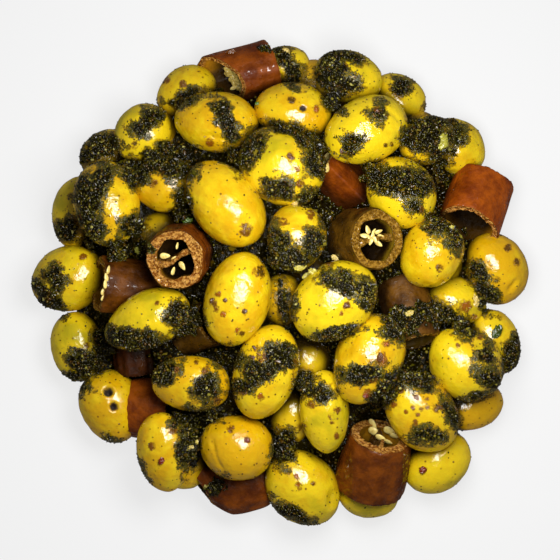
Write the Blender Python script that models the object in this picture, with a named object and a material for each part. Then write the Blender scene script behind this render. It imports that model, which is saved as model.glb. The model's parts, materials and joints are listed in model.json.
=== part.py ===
"""A loose heap of marinated green olives with sliced chilli tubes and clots of chopped herb.

The heap lies on a bare surface. Its olives, herb clots and core are one faceted solid, and each
chilli tube that shows is a solid of its own, in a pocket of the heap. +Z is up, and the origin is
the middle of the heap where it rests. The plan is read from a photograph taken straight down, so
places are in its pixels and are turned into metres by the heap's real width.
"""

import math
import random

import bmesh
import bpy
import numpy as np
from mathutils import Matrix, Vector

MM = 0.001
HEAP_WIDTH = 148 * MM  # across the outermost olives
HEAP_WIDTH_PIXELS = 494
PIXEL = HEAP_WIDTH / HEAP_WIDTH_PIXELS
MIDDLE_PIXEL = (279.5, 282.8)
GAP = 0.35 * MM  # kept between a chilli tube and the heap round it

CROWN_HEIGHT = 37 * MM  # of the middle of the topmost olive
RIM_HEIGHT = 9.5 * MM  # of the middle of an olive on the ground
DOME_RADIUS = 68 * MM  # where the top layer meets the ground layer
DOME_POWER = 0.85
LEVEL_DROP = 8 * MM  # from one level of the heap to the next

# Each olive: photo x, photo y, half length, half width, turn in degrees, level below the top layer.
OLIVES = {
    "north_west_rim": (187, 93, 32, 27, 30, 1),
    "north_west_top": (143, 133, 31, 28, 50, 0.3),
    "under_west_clot": (164, 184, 31, 28, 0, 0.5),
    "west_long": (107, 204, 44, 33, 100, 0),
    "west_rim_upper": (80, 212, 38, 28, 75, 1),
    "west_tip": (68, 279, 37, 32, 20, 1),
    "west_rim_lower": (77, 348, 35, 27, 100, 1),
    "pitted": (112, 406, 37, 31, 110, 1),
    "south_west_rim": (164, 451, 39, 27, 98, 0.5),
    "south_west_oval": (191, 383, 39, 28, -5, 0),
    "west_slanting": (148, 320, 44, 28, 25, 0),
    "middle_long": (238, 300, 48, 33, 75, 0),
    "middle_slanting": (226, 204, 48, 34, -48, 0),
    "north_coated": (281, 167, 44, 39, -30, 0),
    "north_split": (217, 122, 42, 30, -5, 0),
    "north_smooth": (293, 112, 39, 29, -8, 0),
    "north_east_large": (366, 132, 43, 33, 25, 0),
    "north_east_rim": (397, 99, 30, 26, -35, 1),
    "north_coated_rim": (348, 78, 34, 27, -25, 1),
    "north_deep": (308, 82, 27, 22, 60, 1.5),
    "north_rim": (287, 68, 25, 22, 0, 1.9),
    "centre_coated": (296, 238, 33, 30, 80, 0),
    "centre_large": (333, 302, 46, 37, 35, 0),
    "south_long": (265, 371, 48, 32, 75, 0),
    "south_round": (237, 447, 37, 33, -20, 0),
    "south_slim": (325, 411, 41, 25, 93, 0),
    "south_tip": (301, 487, 41, 35, -50, 1),
    "south_east_bright": (366, 359, 47, 34, 68, 0),
    "south_east_speckled": (420, 412, 43, 33, -50, 0),
    "east_round": (465, 363, 38, 35, -40, 0),
    "east_plain": (431, 253, 36, 31, 60, 0),
    "east_banded": (400, 193, 38, 34, -50, 0),
    "north_east_tip": (455, 146, 32, 27, -40, 1),
    "under_east_clot": (426, 140, 28, 24, 20, 0.5),
    "east_tip": (495, 268, 37, 32, -52, 1),
    "east_deep": (455, 300, 30, 24, -20, 1),
    "east_rim": (494, 342, 33, 26, -65, 1.5),
    "south_east_tawny": (471, 407, 33, 24, 20, 1.5),
    "south_east_rim": (437, 463, 36, 30, 37, 1.5),
    "under_south_chilli": (370, 492, 31, 25, 0, 2),
    "centre_deep_south": (306, 362, 28, 24, 60, 1.5),
    "centre_deep": (283, 300, 28, 24, 90, 1.5),
    "south_deep": (292, 415, 28, 24, 90, 1.5),
    "centre_deep_east": (308, 272, 26, 22, 20, 1.5),
    "west_deep": (158, 235, 28, 24, 10, 1.5),
    "west_clot_rim": (103, 153, 26, 22, 40, 2),
}

# Each chilli tube: photo x and y of its middle, length and diameter in pixels, the way its open
# end faces in degrees, how far that end looks up in degrees, and its level.
CHILLIES = {
    "chilli_by_pitted_olive": (146, 409, 42, 60, 176, -14, 2.2),
    "chilli_north": (250, 70, 56, 54, 197, 10, 0.7),
    "chilli_upright_ring": (180, 256, 56, 63, 225, 78, 0.1),
    "chilli_west": (128, 286, 62, 54, 176, 16, 0.9),
    "chilli_shard": (341, 177, 58, 46, 135, 22, 0.8),
    "chilli_seeded_ring": (364, 240, 56, 62, 0, 64, 0.2),
    "chilli_east": (477, 203, 56, 62, 250, 24, 0.7),
    "chilli_under_clot": (408, 312, 66, 54, 285, 16, 0.8),
    "chilli_south_east": (377, 458, 76, 64, 78, 33, 0.5),
    "chilli_south_rim": (236, 486, 72, 50, 178, 3, 2.2),
    "chilli_deep_west": (133, 352, 44, 42, 95, 10, 1.8),
    "chilli_deep_middle": (198, 331, 44, 44, 30, 38, 1.2),
}

# A cut end that isn't square to its tube: the way the cut faces and how far it looks up, in degrees.
SLANTED_CUTS = {"chilli_north": (226, 27), "chilli_south_rim": (216, 6)}

# The rib across each open end: its turn on the cut face in degrees, and the seeds that show on it.
RIBS = {
    "chilli_upright_ring": (118, 5),
    "chilli_seeded_ring": (100, 8),
    "chilli_south_east": (95, 5),
    "chilli_north": (80, 3),
    "chilli_west": (90, 3),
    "chilli_shard": (60, 2),
}

# Each clot of chopped herb: photo x, photo y, half length, half width, turn, thickness in mm.
CLOTS = {
    "west_long_body": (91, 194, 21, 14, 65, 2.2),
    "west_long_foot": (90, 226, 17, 15, 100, 1.8),
    "west_cap_left": (158, 158, 14, 11, 30, 2.4),
    "west_cap": (177, 163, 22, 18, -10, 2.8),
    "west_cap_side": (135, 172, 12, 13, 60, 2.2),
    "north_west_rim": (95, 148, 19, 10, 45, 2.6),
    "split_olive_band": (227, 121, 23, 8, -62, 1.9),
    "coated_rim": (331, 71, 20, 14, 85, 2.0),
    "east_clot": (424, 137, 21, 17, 10, 2.8),
    "east_clot_top": (440, 119, 14, 9, -20, 2.6),
    "east_clot_foot": (440, 155, 14, 8, 10, 2.2),
    "banded_olive": (402, 183, 32, 14, -5, 2.6),
    "banded_olive_left": (376, 178, 12, 15, 80, 2.2),
    "banded_olive_gap": (438, 172, 8, 14, 0, 1.8),
    "coated_north_east": (309, 141, 16, 9, -40, 2.0),
    "coated_east": (316, 163, 17, 9, -75, 2.0),
    "coated_south": (279, 189, 15, 9, -10, 1.8),
    "centre_east": (313, 243, 10, 13, 0, 1.8),
    "centre_south": (290, 260, 20, 11, 0, 2.4),
    "beside_long_olive": (286, 303, 16, 9, 100, 2.2),
    "large_centre_north": (343, 283, 22, 9, -22, 2.0),
    "large_centre_east": (364, 292, 14, 9, -70, 2.0),
    "chilli_cover": (402, 322, 20, 17, 30, 2.8),
    "chilli_cover_east": (433, 313, 22, 12, -8, 2.6),
    "chilli_cover_end": (463, 327, 14, 8, -25, 2.4),
    "east_tip_band": (486, 293, 17, 10, -75, 2.2),
    "plain_olive_side": (457, 237, 9, 13, -20, 2.0),
    "east_rim_side": (510, 356, 19, 8, 75, 2.0),
    "bright_olive": (362, 373, 20, 9, 5, 1.8),
    "bright_olive_side": (388, 388, 24, 11, 50, 2.2),
    "speckled_olive_top": (414, 378, 20, 10, -22, 1.8),
    "south_long_middle": (258, 371, 16, 11, 25, 1.9),
    "south_long_right": (281, 356, 14, 12, -20, 1.9),
    "oval_olive_spot": (207, 387, 12, 13, -30, 2.0),
    "oval_olive_left": (164, 371, 14, 11, 25, 1.9),
    "slanting_low": (137, 341, 30, 12, -10, 2.4),
    "slanting_east": (186, 318, 18, 16, -20, 2.4),
    "west_gap": (104, 342, 17, 10, 90, 2.4),
    "west_lower_spot": (87, 362, 17, 11, -10, 2.0),
    "west_hollow_top": (134, 226, 11, 10, 0, 2.2),
    "west_hollow": (121, 250, 14, 11, 0, 2.2),
    "west_hollow_east": (145, 247, 10, 13, 0, 2.0),
    "south_west_gap": (189, 440, 28, 10, 85, 2.6),
    "south_west_gap_top": (190, 419, 16, 9, 0, 2.2),
    "south_gap": (284, 448, 18, 11, 80, 2.4),
    "south_west_foot": (136, 464, 16, 6, -55, 1.8),
    "west_foot": (78, 382, 12, 8, -20, 1.8),
    "between_olives": (183, 208, 8, 20, 0, 2.2),
    "middle_hollow": (229, 357, 15, 9, 0, 2.2),
}

HEAP_FACES = 6500  # of the heap before its pockets are cut

AXIS_FOLLOWS_DOME = 0.55  # share of the dome's slope that an olive's long axis takes
MOST_STRETCH = 1.12  # a tilted olive looks shorter from above, so it is made this much longer at most

OLIVE_SIDES = 10
OLIVE_RINGS = 4
FILLER_OLIVE_SIDES = 8
FILLER_OLIVE_RINGS = 3
FACET_SWELL = 1.02  # so that a faceted olive has the size of a round one
EGG = 0.05  # how much fuller one end of an olive is than the other

TUBE_SIDES = 14
TUBE_WALL = 2.6 * MM
TUBE_WAIST = 0.97  # the tube's girth at its ends, as a share of that at its middle
TUBE_OVAL = 0.96
END_BALL = 0.86  # of an olive's half width: the radius of the balls that stand for its ends
EDGE_BALL = 2.6 * MM  # radius of the balls along a tube's wall
EDGE_BALLS = 8  # round the tube
RIB_THICK = 1.7 * MM
RIB_SUNK = 1.6 * MM  # how far the rib's top edge lies behind the cut face
RIB_IN_WALL = 0.55  # share of the wall's thickness that the rib reaches into it
RIB_BELOW_SLANT = 0.35  # of the tube's half width: how much lower the rib ends under a slanted cut
SEED_LENGTH = 3.6 * MM
SEED_WIDTH = 2.7 * MM
SEED_THICK = 1.3 * MM
SEED_DROP = 1.0 * MM  # how far below the rib's edge a seed may lie
SEED_BURIED = 0.35  # share of a seed's thickness that the rib hides
SEED_TILT = (0.5, 2.6)  # radians from upright, along the rib
SEED_ROLL = 0.5  # radians at most, away from the rib
SEED_SIDES = 5
SEED_RINGS = 2

CORE_RADIUS = 57 * MM
CORE_SIDES = 30
CORE_RINGS = 8
LOWEST_CORE = 2 * MM
ANCHOR_REACH = 0.8  # share of an olive's half width under which the core reaches up into it
ANCHOR_DEPTH = 0.72  # how far below its middle the core reaches, for its half width
CORE_BELOW_MIDDLES = 4 * MM  # the core's surface lies this far below the middles round it
CORE_BLEND = 9 * MM  # how far a piece sways the core's height

CLOT_SIDES = 6
CLOT_SHOULDER = 0.62  # where a clot is nearly as thick as at its middle
CLOT_REACH = (0.86, 1.1)  # how far an outline point may lie in or out, as a share of the clot's size
CLOT_CREST = (0.7, 0.95)  # how thick a clot is at its shoulder, as a share of its thickness
CLOT_EDGE = 0.1  # the same at its edge
CLOT_ROOT = 0.7  # a clot narrows to this share below the surface it lies on
CLOT_ROOT_DEPTH = 2.5 * MM
MOST_DRAPE = 0.65  # how far a clot's edge hangs below its highest point, for its half length
LEAST_REACH = 0.4  # a clot's edge is drawn in to this share of its size where nothing carries it
REACH_STEP = 0.1

# Rings of olives in the lower layers, which show only between those above: radius and height.
FILLER_RINGS = ((59 * MM, 8.9 * MM), (56 * MM, 8.9 * MM), (53 * MM, 17 * MM))
FILLER_STEPS = 48
FILLER_PRESS = 4 * MM
LOWEST_FILLER = 8.9 * MM
CARRIED_BEYOND = 38 * MM
CARRIED_ABOVE = 5 * MM
CARRIER_SHIFTS = (3 * MM, 0, 6 * MM, 9 * MM, 12 * MM)
CARRIER_CLOSE = 0.72  # share of the two olives' half widths that a carrier lies below what it carries
CARRIER_PRESS = 7 * MM
CHILLI_PRESS = 1.5 * MM
FILLER_LENGTH = 11 * MM
FILLER_WIDTH = 8.6 * MM

OLIVE_COLOUR = (0.52, 0.42, 0.03, 1)
CHILLI_COLOURS = {
    "chilli_east": (0.30, 0.09, 0.02, 1),
    "chilli_under_clot": (0.13, 0.09, 0.02, 1),
    "chilli_seeded_ring": (0.12, 0.05, 0.02, 1),
    "chilli_south_rim": (0.07, 0.03, 0.015, 1),
}
CHILLI_COLOUR = (0.20, 0.06, 0.02, 1)


def clear_scene():
    for old in list(bpy.data.objects):
        bpy.data.objects.remove(old)


def on_plan(photo_x, photo_y):
    """The place on the plan, in metres, of a pixel of the photograph."""
    return (photo_x - MIDDLE_PIXEL[0]) * PIXEL, (MIDDLE_PIXEL[1] - photo_y) * PIXEL


def facing(azimuth, lift):
    """The unit vector that points azimuth degrees round from +X and lift degrees up."""
    azimuth, lift = math.radians(azimuth), math.radians(lift)
    return Vector((math.cos(azimuth) * math.cos(lift), math.sin(azimuth) * math.cos(lift), math.sin(lift)))


def dome(x, y):
    """The height at which the middle of a top-layer piece lies."""
    share = max(0.0, 1 - (x * x + y * y) / DOME_RADIUS**2)
    return RIM_HEIGHT + (CROWN_HEIGHT - RIM_HEIGHT) * share**DOME_POWER


def slope(x, y):
    """How the dome falls away: its rise per metre along x and along y."""
    step = 2 * MM
    return (
        (dome(x + step, y) - dome(x - step, y)) / (2 * step),
        (dome(x, y + step) - dome(x, y - step)) / (2 * step),
    )


class Piece:
    """An olive or a chilli tube: its middle, its long axis, and its half sizes."""

    def __init__(self, name, kind, middle, axis, half_length, half_width):
        self.name = name
        self.kind = kind
        self.middle = np.array(middle, float)
        self.axis = Vector(axis).normalized()
        self.half_length = half_length
        self.half_width = half_width

    def frame(self):
        """The turn and place that carry a shape made along +Z at the origin onto the piece."""
        turn = self.axis.to_track_quat("Z", "Y").to_matrix()
        return Matrix.Translation(Vector(self.middle)) @ turn.to_4x4()

    def balls(self):
        """Balls, as place from the middle and radius, that fill the piece while the heap settles."""
        along = np.array(self.axis)
        if self.kind == "olive":
            end = END_BALL * self.half_width
            reach = self.half_length - end
            return [(-reach * along, end), (0 * along, self.half_width), (reach * along, end)]
        turn = np.array(self.axis.to_track_quat("Z", "Y").to_matrix())
        found = [(0 * along, min(self.half_width, self.half_length))]
        for step in range(EDGE_BALLS):
            angle = step * math.tau / EDGE_BALLS
            out = turn @ np.array((math.cos(angle), math.sin(angle), 0)) * (self.half_width - EDGE_BALL)
            for side in (-1, 0, 1):
                found.append((out + side * (self.half_length - EDGE_BALL) * along, EDGE_BALL))
        return found

    def lowest(self):
        """How far the piece reaches below its middle."""
        rise = abs(self.axis.z)
        level = math.sqrt(1 - rise * rise)
        if self.kind == "chilli":
            return self.half_length * rise + self.half_width * level
        return math.hypot(self.half_length * rise, self.half_width * level)

    def top(self, x, y):
        """The highest point of the piece on the upright line through x and y, or None beside it."""
        ax, ay, az = self.axis
        dx, dy = x - self.middle[0], y - self.middle[1]
        if self.kind == "olive":
            return self.top_of_oval(dx, dy)
        # Squared distance from the axis is a quadratic in the height dz.
        flat = dx * ax + dy * ay
        a = 1 - az * az
        b = -2 * az * flat
        c = dx * dx + dy * dy - flat * flat - self.half_width**2
        low, high = -1.0, 1.0
        if a > 1e-9:
            root = b * b - 4 * a * c
            if root < 0:
                return None
            low, high = (-b - math.sqrt(root)) / (2 * a), (-b + math.sqrt(root)) / (2 * a)
        elif c > 0:
            return None
        if abs(az) > 1e-9:
            ends = sorted(((-self.half_length - flat) / az, (self.half_length - flat) / az))
            low, high = max(low, ends[0]), min(high, ends[1])
        elif abs(flat) > self.half_length:
            return None
        return self.middle[2] + high if high >= low else None

    def top_of_oval(self, dx, dy):
        ax, ay, az = self.axis
        thin = 1 / self.half_width**2
        more = 1 / self.half_length**2 - thin
        flat = dx * ax + dy * ay
        a = thin + more * az * az
        b = 2 * more * az * flat
        c = thin * (dx * dx + dy * dy) + more * flat * flat - 1
        root = b * b - 4 * a * c
        if root < 0:
            return None
        return self.middle[2] + (-b + math.sqrt(root)) / (2 * a)


def olive_pieces():
    pieces = []
    for name, (px, py, long_half, wide_half, turn, level) in OLIVES.items():
        x, y = on_plan(px, py)
        along = facing(turn, 0)
        rise_x, rise_y = slope(x, y)
        along.z = AXIS_FOLLOWS_DOME * (rise_x * along.x + rise_y * along.y)
        half_length = long_half * PIXEL * min(along.length, MOST_STRETCH)
        height = dome(x, y) - level * LEVEL_DROP
        pieces.append(Piece(name, "olive", (x, y, height), along, half_length, wide_half * PIXEL))
    return pieces


def chilli_pieces():
    pieces = []
    for name, (px, py, length, width, azimuth, lift, level) in CHILLIES.items():
        x, y = on_plan(px, py)
        height = dome(x, y) - level * LEVEL_DROP
        axis = facing(azimuth, lift)
        pieces.append(Piece(name, "chilli", (x, y, height), axis, length * PIXEL / 2, width * PIXEL / 2))
    return pieces


SETTLE_STEPS = 260
SOFT_CONTACT = -0.7 * MM  # how far two soft olives press into each other
CHILLI_CONTACT = -1.2 * MM
CHILLI_APART = 1.3 * MM
PLAN_GIVE = 0.08  # share of a push that may shift a piece on the plan, so the plan keeps to the photo
PULL_TO_PLACE = (0.08, 0.08, 0.04)  # share of the way home that a piece goes in a step, along x, y and z
PUSH = 0.35
FLOOR = 0.3 * MM


def settle(pieces):
    """Pushes overlapping pieces apart, mostly up and down."""
    owner, offset, radius = [], [], []
    for index, piece in enumerate(pieces):
        for away, size in piece.balls():
            owner.append(index)
            offset.append(away)
            radius.append(size)
    owner, offset, radius = np.array(owner), np.array(offset), np.array(radius)
    chilli = np.array([piece.kind == "chilli" for piece in pieces])[owner]
    contact = np.where(chilli[:, None] & chilli[None, :], CHILLI_APART, CHILLI_CONTACT)
    contact = np.where(~chilli[:, None] & ~chilli[None, :], SOFT_CONTACT, contact)
    reach = radius[:, None] + radius[None, :] + contact
    other = owner[:, None] != owner[None, :]
    home = np.array([piece.middle for piece in pieces])
    place = home.copy()
    pull = np.array(PULL_TO_PLACE)
    give = np.array([PLAN_GIVE, PLAN_GIVE, 1.0])
    low = np.array([piece.lowest() for piece in pieces]) + FLOOR
    for _ in range(SETTLE_STEPS):
        place += pull * (home - place)
        balls = place[owner] + offset
        between = balls[:, None, :] - balls[None, :, :]
        far = np.sqrt((between**2).sum(2)) + 1e-9
        depth = np.where(other, np.clip(reach - far, 0, None), 0)
        push = (between / far[:, :, None] * depth[:, :, None]).sum(1)
        hits = np.maximum((depth > 0).sum(1), 1)[:, None]
        move = np.zeros_like(place)
        np.add.at(move, owner, push / hits)
        place += PUSH * move * give
        place[:, 2] = np.maximum(place[:, 2], low)
    for piece, middle in zip(pieces, place):
        piece.middle = middle
    return pieces


def press(piece, others):
    """How deep the piece presses into the one that it meets most."""
    balls = [(other.middle + away, size) for other in others for away, size in other.balls()]
    if not balls:
        return 0.0
    places = np.array([place for place, _ in balls])
    sizes = np.array([size for _, size in balls])

    def depth(away, size):
        return (size + sizes - np.linalg.norm(places - piece.middle - away, axis=1)).max()

    return max(depth(away, size) for away, size in piece.balls())


def filler_pieces(shown):
    """Olives of the lower layers: under each high olive near the rim, then wherever a ring has room."""
    chillies = [piece for piece in shown if piece.kind == "chilli"]
    chance = random.Random(11)
    pieces = []

    def lay(angle, radius, height):
        middle = (radius * math.cos(angle), radius * math.sin(angle), max(height, LOWEST_FILLER))
        axis = facing(math.degrees(angle) + chance.uniform(40, 140), chance.uniform(-15, 15))
        return Piece(f"filler_{len(pieces)}", "olive", middle, axis, FILLER_LENGTH, FILLER_WIDTH)

    for carried in shown:
        x, y, z = carried.middle
        far = math.hypot(x, y)
        if carried.kind == "chilli" or far < CARRIED_BEYOND or z - carried.lowest() < CARRIED_ABOVE:
            continue
        for inward in CARRIER_SHIFTS:
            below = CARRIER_CLOSE * (carried.half_width + FILLER_WIDTH)
            carrier = lay(math.atan2(y, x), far - inward, z - below)
            if press(carrier, chillies) < CHILLI_PRESS and press(carrier, pieces) < CARRIER_PRESS:
                pieces.append(carrier)
                break
    for radius, height in FILLER_RINGS:
        for step in range(FILLER_STEPS):
            filler = lay(math.tau * step / FILLER_STEPS, radius, height)
            if press(filler, shown + pieces) < FILLER_PRESS:
                pieces.append(filler)
    return pieces


class Heap:
    """The settled pieces, and the heights of the core and of the heap's own surface."""

    def __init__(self):
        self.shown = shown = settle(olive_pieces() + chilli_pieces())
        self.olives = [piece for piece in shown if piece.kind == "olive"]
        self.chillies = [piece for piece in shown if piece.kind == "chilli"]
        settle(self.chillies)
        self.fillers = filler_pieces(shown)
        self.solid = shown + self.fillers

    def core_height(self, x, y):
        """The core follows the middles of the pieces near it, and reaches into each olive from below."""
        total, weight, anchor = 0.0, 1e-9, LOWEST_CORE
        for piece in self.shown:
            far = math.hypot(piece.middle[0] - x, piece.middle[1] - y)
            share = math.exp(-((far / CORE_BLEND) ** 2))
            total += share * piece.middle[2]
            weight += share
            if piece.kind == "olive" and far < ANCHOR_REACH * piece.half_width:
                anchor = max(anchor, piece.middle[2] - ANCHOR_DEPTH * piece.half_width)
        return max(total / weight - CORE_BELOW_MIDDLES, anchor)

    def surface(self, x, y):
        tops = [piece.top(x, y) for piece in self.solid]
        tops = [top for top in tops if top is not None]
        if math.hypot(x, y) < CORE_RADIUS:
            tops.append(self.core_height(x, y))
        return max(tops, default=0.0)


def new_object(name, bm, collection=None):
    bmesh.ops.recalc_face_normals(bm, faces=bm.faces[:])
    mesh = bpy.data.meshes.new(name)
    bm.to_mesh(mesh)
    bm.free()
    obj = bpy.data.objects.new(name, mesh)
    (collection or bpy.context.scene.collection).objects.link(obj)
    return obj


def bridge(bm, lower, upper):
    """Quads, cut into triangles, between two rings of as many points."""
    count = len(lower)
    for i in range(count):
        j = (i + 1) % count
        bm.faces.new((lower[i], lower[j], upper[j]))
        bm.faces.new((lower[i], upper[j], upper[i]))


def fan(bm, ring, tip):
    for i, point in enumerate(ring):
        bm.faces.new((point, ring[(i + 1) % len(ring)], tip))


def girth(t):
    """An olive's girth at t, from -1 at one end to 1 at the other."""
    return math.sqrt(max(0.0, 1 - t * t)) * (1 + EGG * t)


def add_oval(bm, frame, half_length, half_width, half_depth, sides, rings, egg=False):
    """A closed rounded oval along the frame's Z, with few sides."""
    around = []
    for ring in range(1, rings + 1):
        t = -math.cos(math.pi * ring / (rings + 1))
        wide = girth(t) if egg else math.sqrt(1 - t * t)
        points = []
        for side in range(sides):
            angle = math.tau * (side + 0.5 * ring) / sides
            across, up = half_width * wide * math.cos(angle), half_depth * wide * math.sin(angle)
            points.append(bm.verts.new(frame @ Vector((across, up, half_length * t))))
        around.append(points)
    for lower, upper in zip(around, around[1:]):
        bridge(bm, lower, upper)
    fan(bm, around[0], bm.verts.new(frame @ Vector((0, 0, -half_length))))
    fan(bm, around[-1], bm.verts.new(frame @ Vector((0, 0, half_length))))


def olive_object(piece, collection, sides=OLIVE_SIDES, rings=OLIVE_RINGS):
    bm = bmesh.new()
    wide = piece.half_width * FACET_SWELL
    add_oval(bm, piece.frame(), piece.half_length, wide, wide, sides, rings, egg=True)
    return new_object(piece.name, bm, collection)


def core_object(heap):
    """A closed lump with a flat base, whose top follows the lower sides of the olives."""
    bm = bmesh.new()
    rings = []
    for ring in range(CORE_RINGS, 0, -1):
        radius = CORE_RADIUS * ring / CORE_RINGS
        points = []
        for side in range(CORE_SIDES):
            angle = math.tau * (side + 0.5 * ring) / CORE_SIDES
            x, y = radius * math.cos(angle), radius * math.sin(angle)
            points.append(bm.verts.new((x, y, heap.core_height(x, y))))
        rings.append(points)
    base = [bm.verts.new((point.co.x, point.co.y, 0)) for point in rings[0]]
    bridge(bm, base, rings[0])
    for lower, upper in zip(rings, rings[1:]):
        bridge(bm, lower, upper)
    fan(bm, rings[-1], bm.verts.new((0, 0, heap.core_height(0, 0))))
    bm.faces.new(base[::-1])
    return new_object("olive_heap", bm)


def clot_object(name, heap, collection):
    """A lump of chopped herb that drapes over what it lies on, with its root sunk in it."""
    px, py, long_half, wide_half, turn, thickness = CLOTS[name]
    middle_x, middle_y = on_plan(px, py)
    chance = random.Random(name)
    turned = math.radians(turn)

    def spot(share, angle):
        along = long_half * PIXEL * share * math.cos(angle)
        across = wide_half * PIXEL * share * math.sin(angle)
        return (
            middle_x + along * math.cos(turned) - across * math.sin(turned),
            middle_y + along * math.sin(turned) + across * math.cos(turned),
        )

    steps = [math.tau * i / CLOT_SIDES for i in range(CLOT_SIDES)]
    near = [spot(CLOT_SHOULDER, angle) for angle in steps] + [(middle_x, middle_y)]
    floor = max(heap.surface(x, y) for x, y in near) - MOST_DRAPE * long_half * PIXEL

    def reach(angle):
        """How far the clot spreads this way before it would hang over nothing."""
        size = chance.uniform(*CLOT_REACH)
        while size > LEAST_REACH and heap.surface(*spot(size, angle)) < floor:
            size -= REACH_STEP
        return size

    sizes = [reach(angle) for angle in steps]
    edge = [spot(size, angle) for size, angle in zip(sizes, steps)]
    shoulder = [spot(size * CLOT_SHOULDER, angle) for size, angle in zip(sizes, steps)]
    root = [spot(size * CLOT_ROOT, angle) for size, angle in zip(sizes, steps)]

    def on_surface(place, rise):
        return Vector((*place, max(heap.surface(*place), floor) + rise))

    bm = bmesh.new()
    edge_points = [bm.verts.new(on_surface(place, CLOT_EDGE * thickness * MM)) for place in edge]
    shoulder_points = [
        bm.verts.new(on_surface(place, thickness * MM * chance.uniform(*CLOT_CREST))) for place in shoulder
    ]
    root_points = [bm.verts.new(on_surface(place, -CLOT_ROOT_DEPTH)) for place in root]
    bridge(bm, root_points, edge_points)
    bridge(bm, edge_points, shoulder_points)
    fan(bm, shoulder_points, bm.verts.new(on_surface((middle_x, middle_y), thickness * MM)))
    fan(bm, root_points, bm.verts.new(on_surface((middle_x, middle_y), -CLOT_ROOT_DEPTH)))
    return new_object("clot_" + name, bm, collection)


def tube_ring(bm, piece, width, along, end):
    """A ring of points round the tube at the place along it, which a slanted cut may lean."""
    frame = piece.frame()
    lean = Vector((0, 0, 1))
    if end == 1 and piece.name in SLANTED_CUTS:
        lean = frame.to_3x3().inverted() @ facing(*SLANTED_CUTS[piece.name])
    points = []
    for side in range(TUBE_SIDES):
        angle = math.tau * side / TUBE_SIDES
        x, y = width * math.cos(angle), width * TUBE_OVAL * math.sin(angle)
        z = along - (lean.x * x + lean.y * y) / lean.z
        points.append(bm.verts.new(frame @ Vector((x, y, z))))
    return points


def envelope_object(piece, collection):
    """The whole space that a tube takes, with its bore shut and the gap round it."""
    bm = bmesh.new()
    wide = piece.half_width + GAP
    long = piece.half_length + GAP
    start = tube_ring(bm, piece, wide * TUBE_WAIST, -long, -1)
    middle = tube_ring(bm, piece, wide, 0, 0)
    finish = tube_ring(bm, piece, wide * TUBE_WAIST, long, 1)
    bridge(bm, start, middle)
    bridge(bm, middle, finish)
    bm.faces.new(start[::-1])
    bm.faces.new(finish)
    bmesh.ops.triangulate(bm, faces=bm.faces[:])
    return new_object("envelope_" + piece.name, bm, collection)


def tube_object(piece):
    """An open tube with a thick wall, cut across at both ends."""
    bm = bmesh.new()
    long = piece.half_length
    outer = [
        tube_ring(bm, piece, piece.half_width * TUBE_WAIST, -long, -1),
        tube_ring(bm, piece, piece.half_width, 0, 0),
        tube_ring(bm, piece, piece.half_width * TUBE_WAIST, long, 1),
    ]
    bore = piece.half_width - TUBE_WALL
    inner = [tube_ring(bm, piece, bore, long, 1), tube_ring(bm, piece, bore, -long, -1)]
    around = outer + inner
    for ring, following in zip(around, around[1:] + around[:1]):
        bridge(bm, ring, following)
    return new_object(piece.name, bm)


def rib_and_seeds(piece, collection):
    """The pale rib that crosses the bore, with the seeds that cling to its edge."""
    turn, seeds = RIBS[piece.name]
    frame = piece.frame() @ Matrix.Rotation(math.radians(turn), 4, "Z")
    half_span = (piece.half_width - (1 - RIB_IN_WALL) * TUBE_WALL) * TUBE_OVAL
    top = piece.half_length - RIB_SUNK
    bottom = -piece.half_length + RIB_SUNK
    if piece.name in SLANTED_CUTS:
        top -= RIB_BELOW_SLANT * piece.half_width
    bm = bmesh.new()
    bmesh.ops.create_cube(bm, size=1)
    size = Matrix.Diagonal((2 * half_span, RIB_THICK, top - bottom, 1))
    middle = Matrix.Translation((0, 0, (top + bottom) / 2))
    bmesh.ops.transform(bm, matrix=frame @ middle @ size, verts=bm.verts[:])
    bmesh.ops.triangulate(bm, faces=bm.faces[:])
    new_object("rib_" + piece.name, bm, collection)
    chance = random.Random(piece.name)
    reach = piece.half_width - TUBE_WALL - 0.5 * SEED_LENGTH
    for seed in range(seeds):
        along = reach * (2 * (seed + 0.5) / seeds - 1)
        side = (seed % 2 - 0.5) * (RIB_THICK + (1 - 2 * SEED_BURIED) * SEED_THICK)
        place = Matrix.Translation((along, side, top - chance.uniform(0, SEED_DROP)))
        tilt = Matrix.Rotation(chance.uniform(*SEED_TILT), 4, "Y")
        tilt = tilt @ Matrix.Rotation(chance.uniform(-SEED_ROLL, SEED_ROLL), 4, "X")
        bm = bmesh.new()
        size = (SEED_LENGTH / 2, SEED_WIDTH / 2, SEED_THICK / 2)
        add_oval(bm, frame @ place @ tilt, *size, SEED_SIDES, SEED_RINGS)
        new_object(f"seed_{seed}_{piece.name}", bm, collection)


def new_collection(name):
    collection = bpy.data.collections.new(name)
    bpy.context.scene.collection.children.link(collection)
    return collection


def largest_body(mesh):
    """Keeps the biggest closed body, so that no loose scrap and no sealed hollow is left."""
    bm = bmesh.new()
    bm.from_mesh(mesh)
    bmesh.ops.triangulate(bm, faces=bm.faces[:])
    left = set(bm.faces)
    bodies = []
    while left:
        body, edge = set(), [left.pop()]
        while edge:
            face = edge.pop()
            body.add(face)
            near = {other for side in face.edges for other in side.link_faces} & left
            left -= near
            edge.extend(near)
        bodies.append(body)
    bodies.sort(key=len, reverse=True)
    for scrap in bodies[1:]:
        bmesh.ops.delete(bm, geom=list(scrap), context="FACES")
    bm.to_mesh(mesh)
    bm.free()
    return [len(body) for body in bodies]


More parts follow.
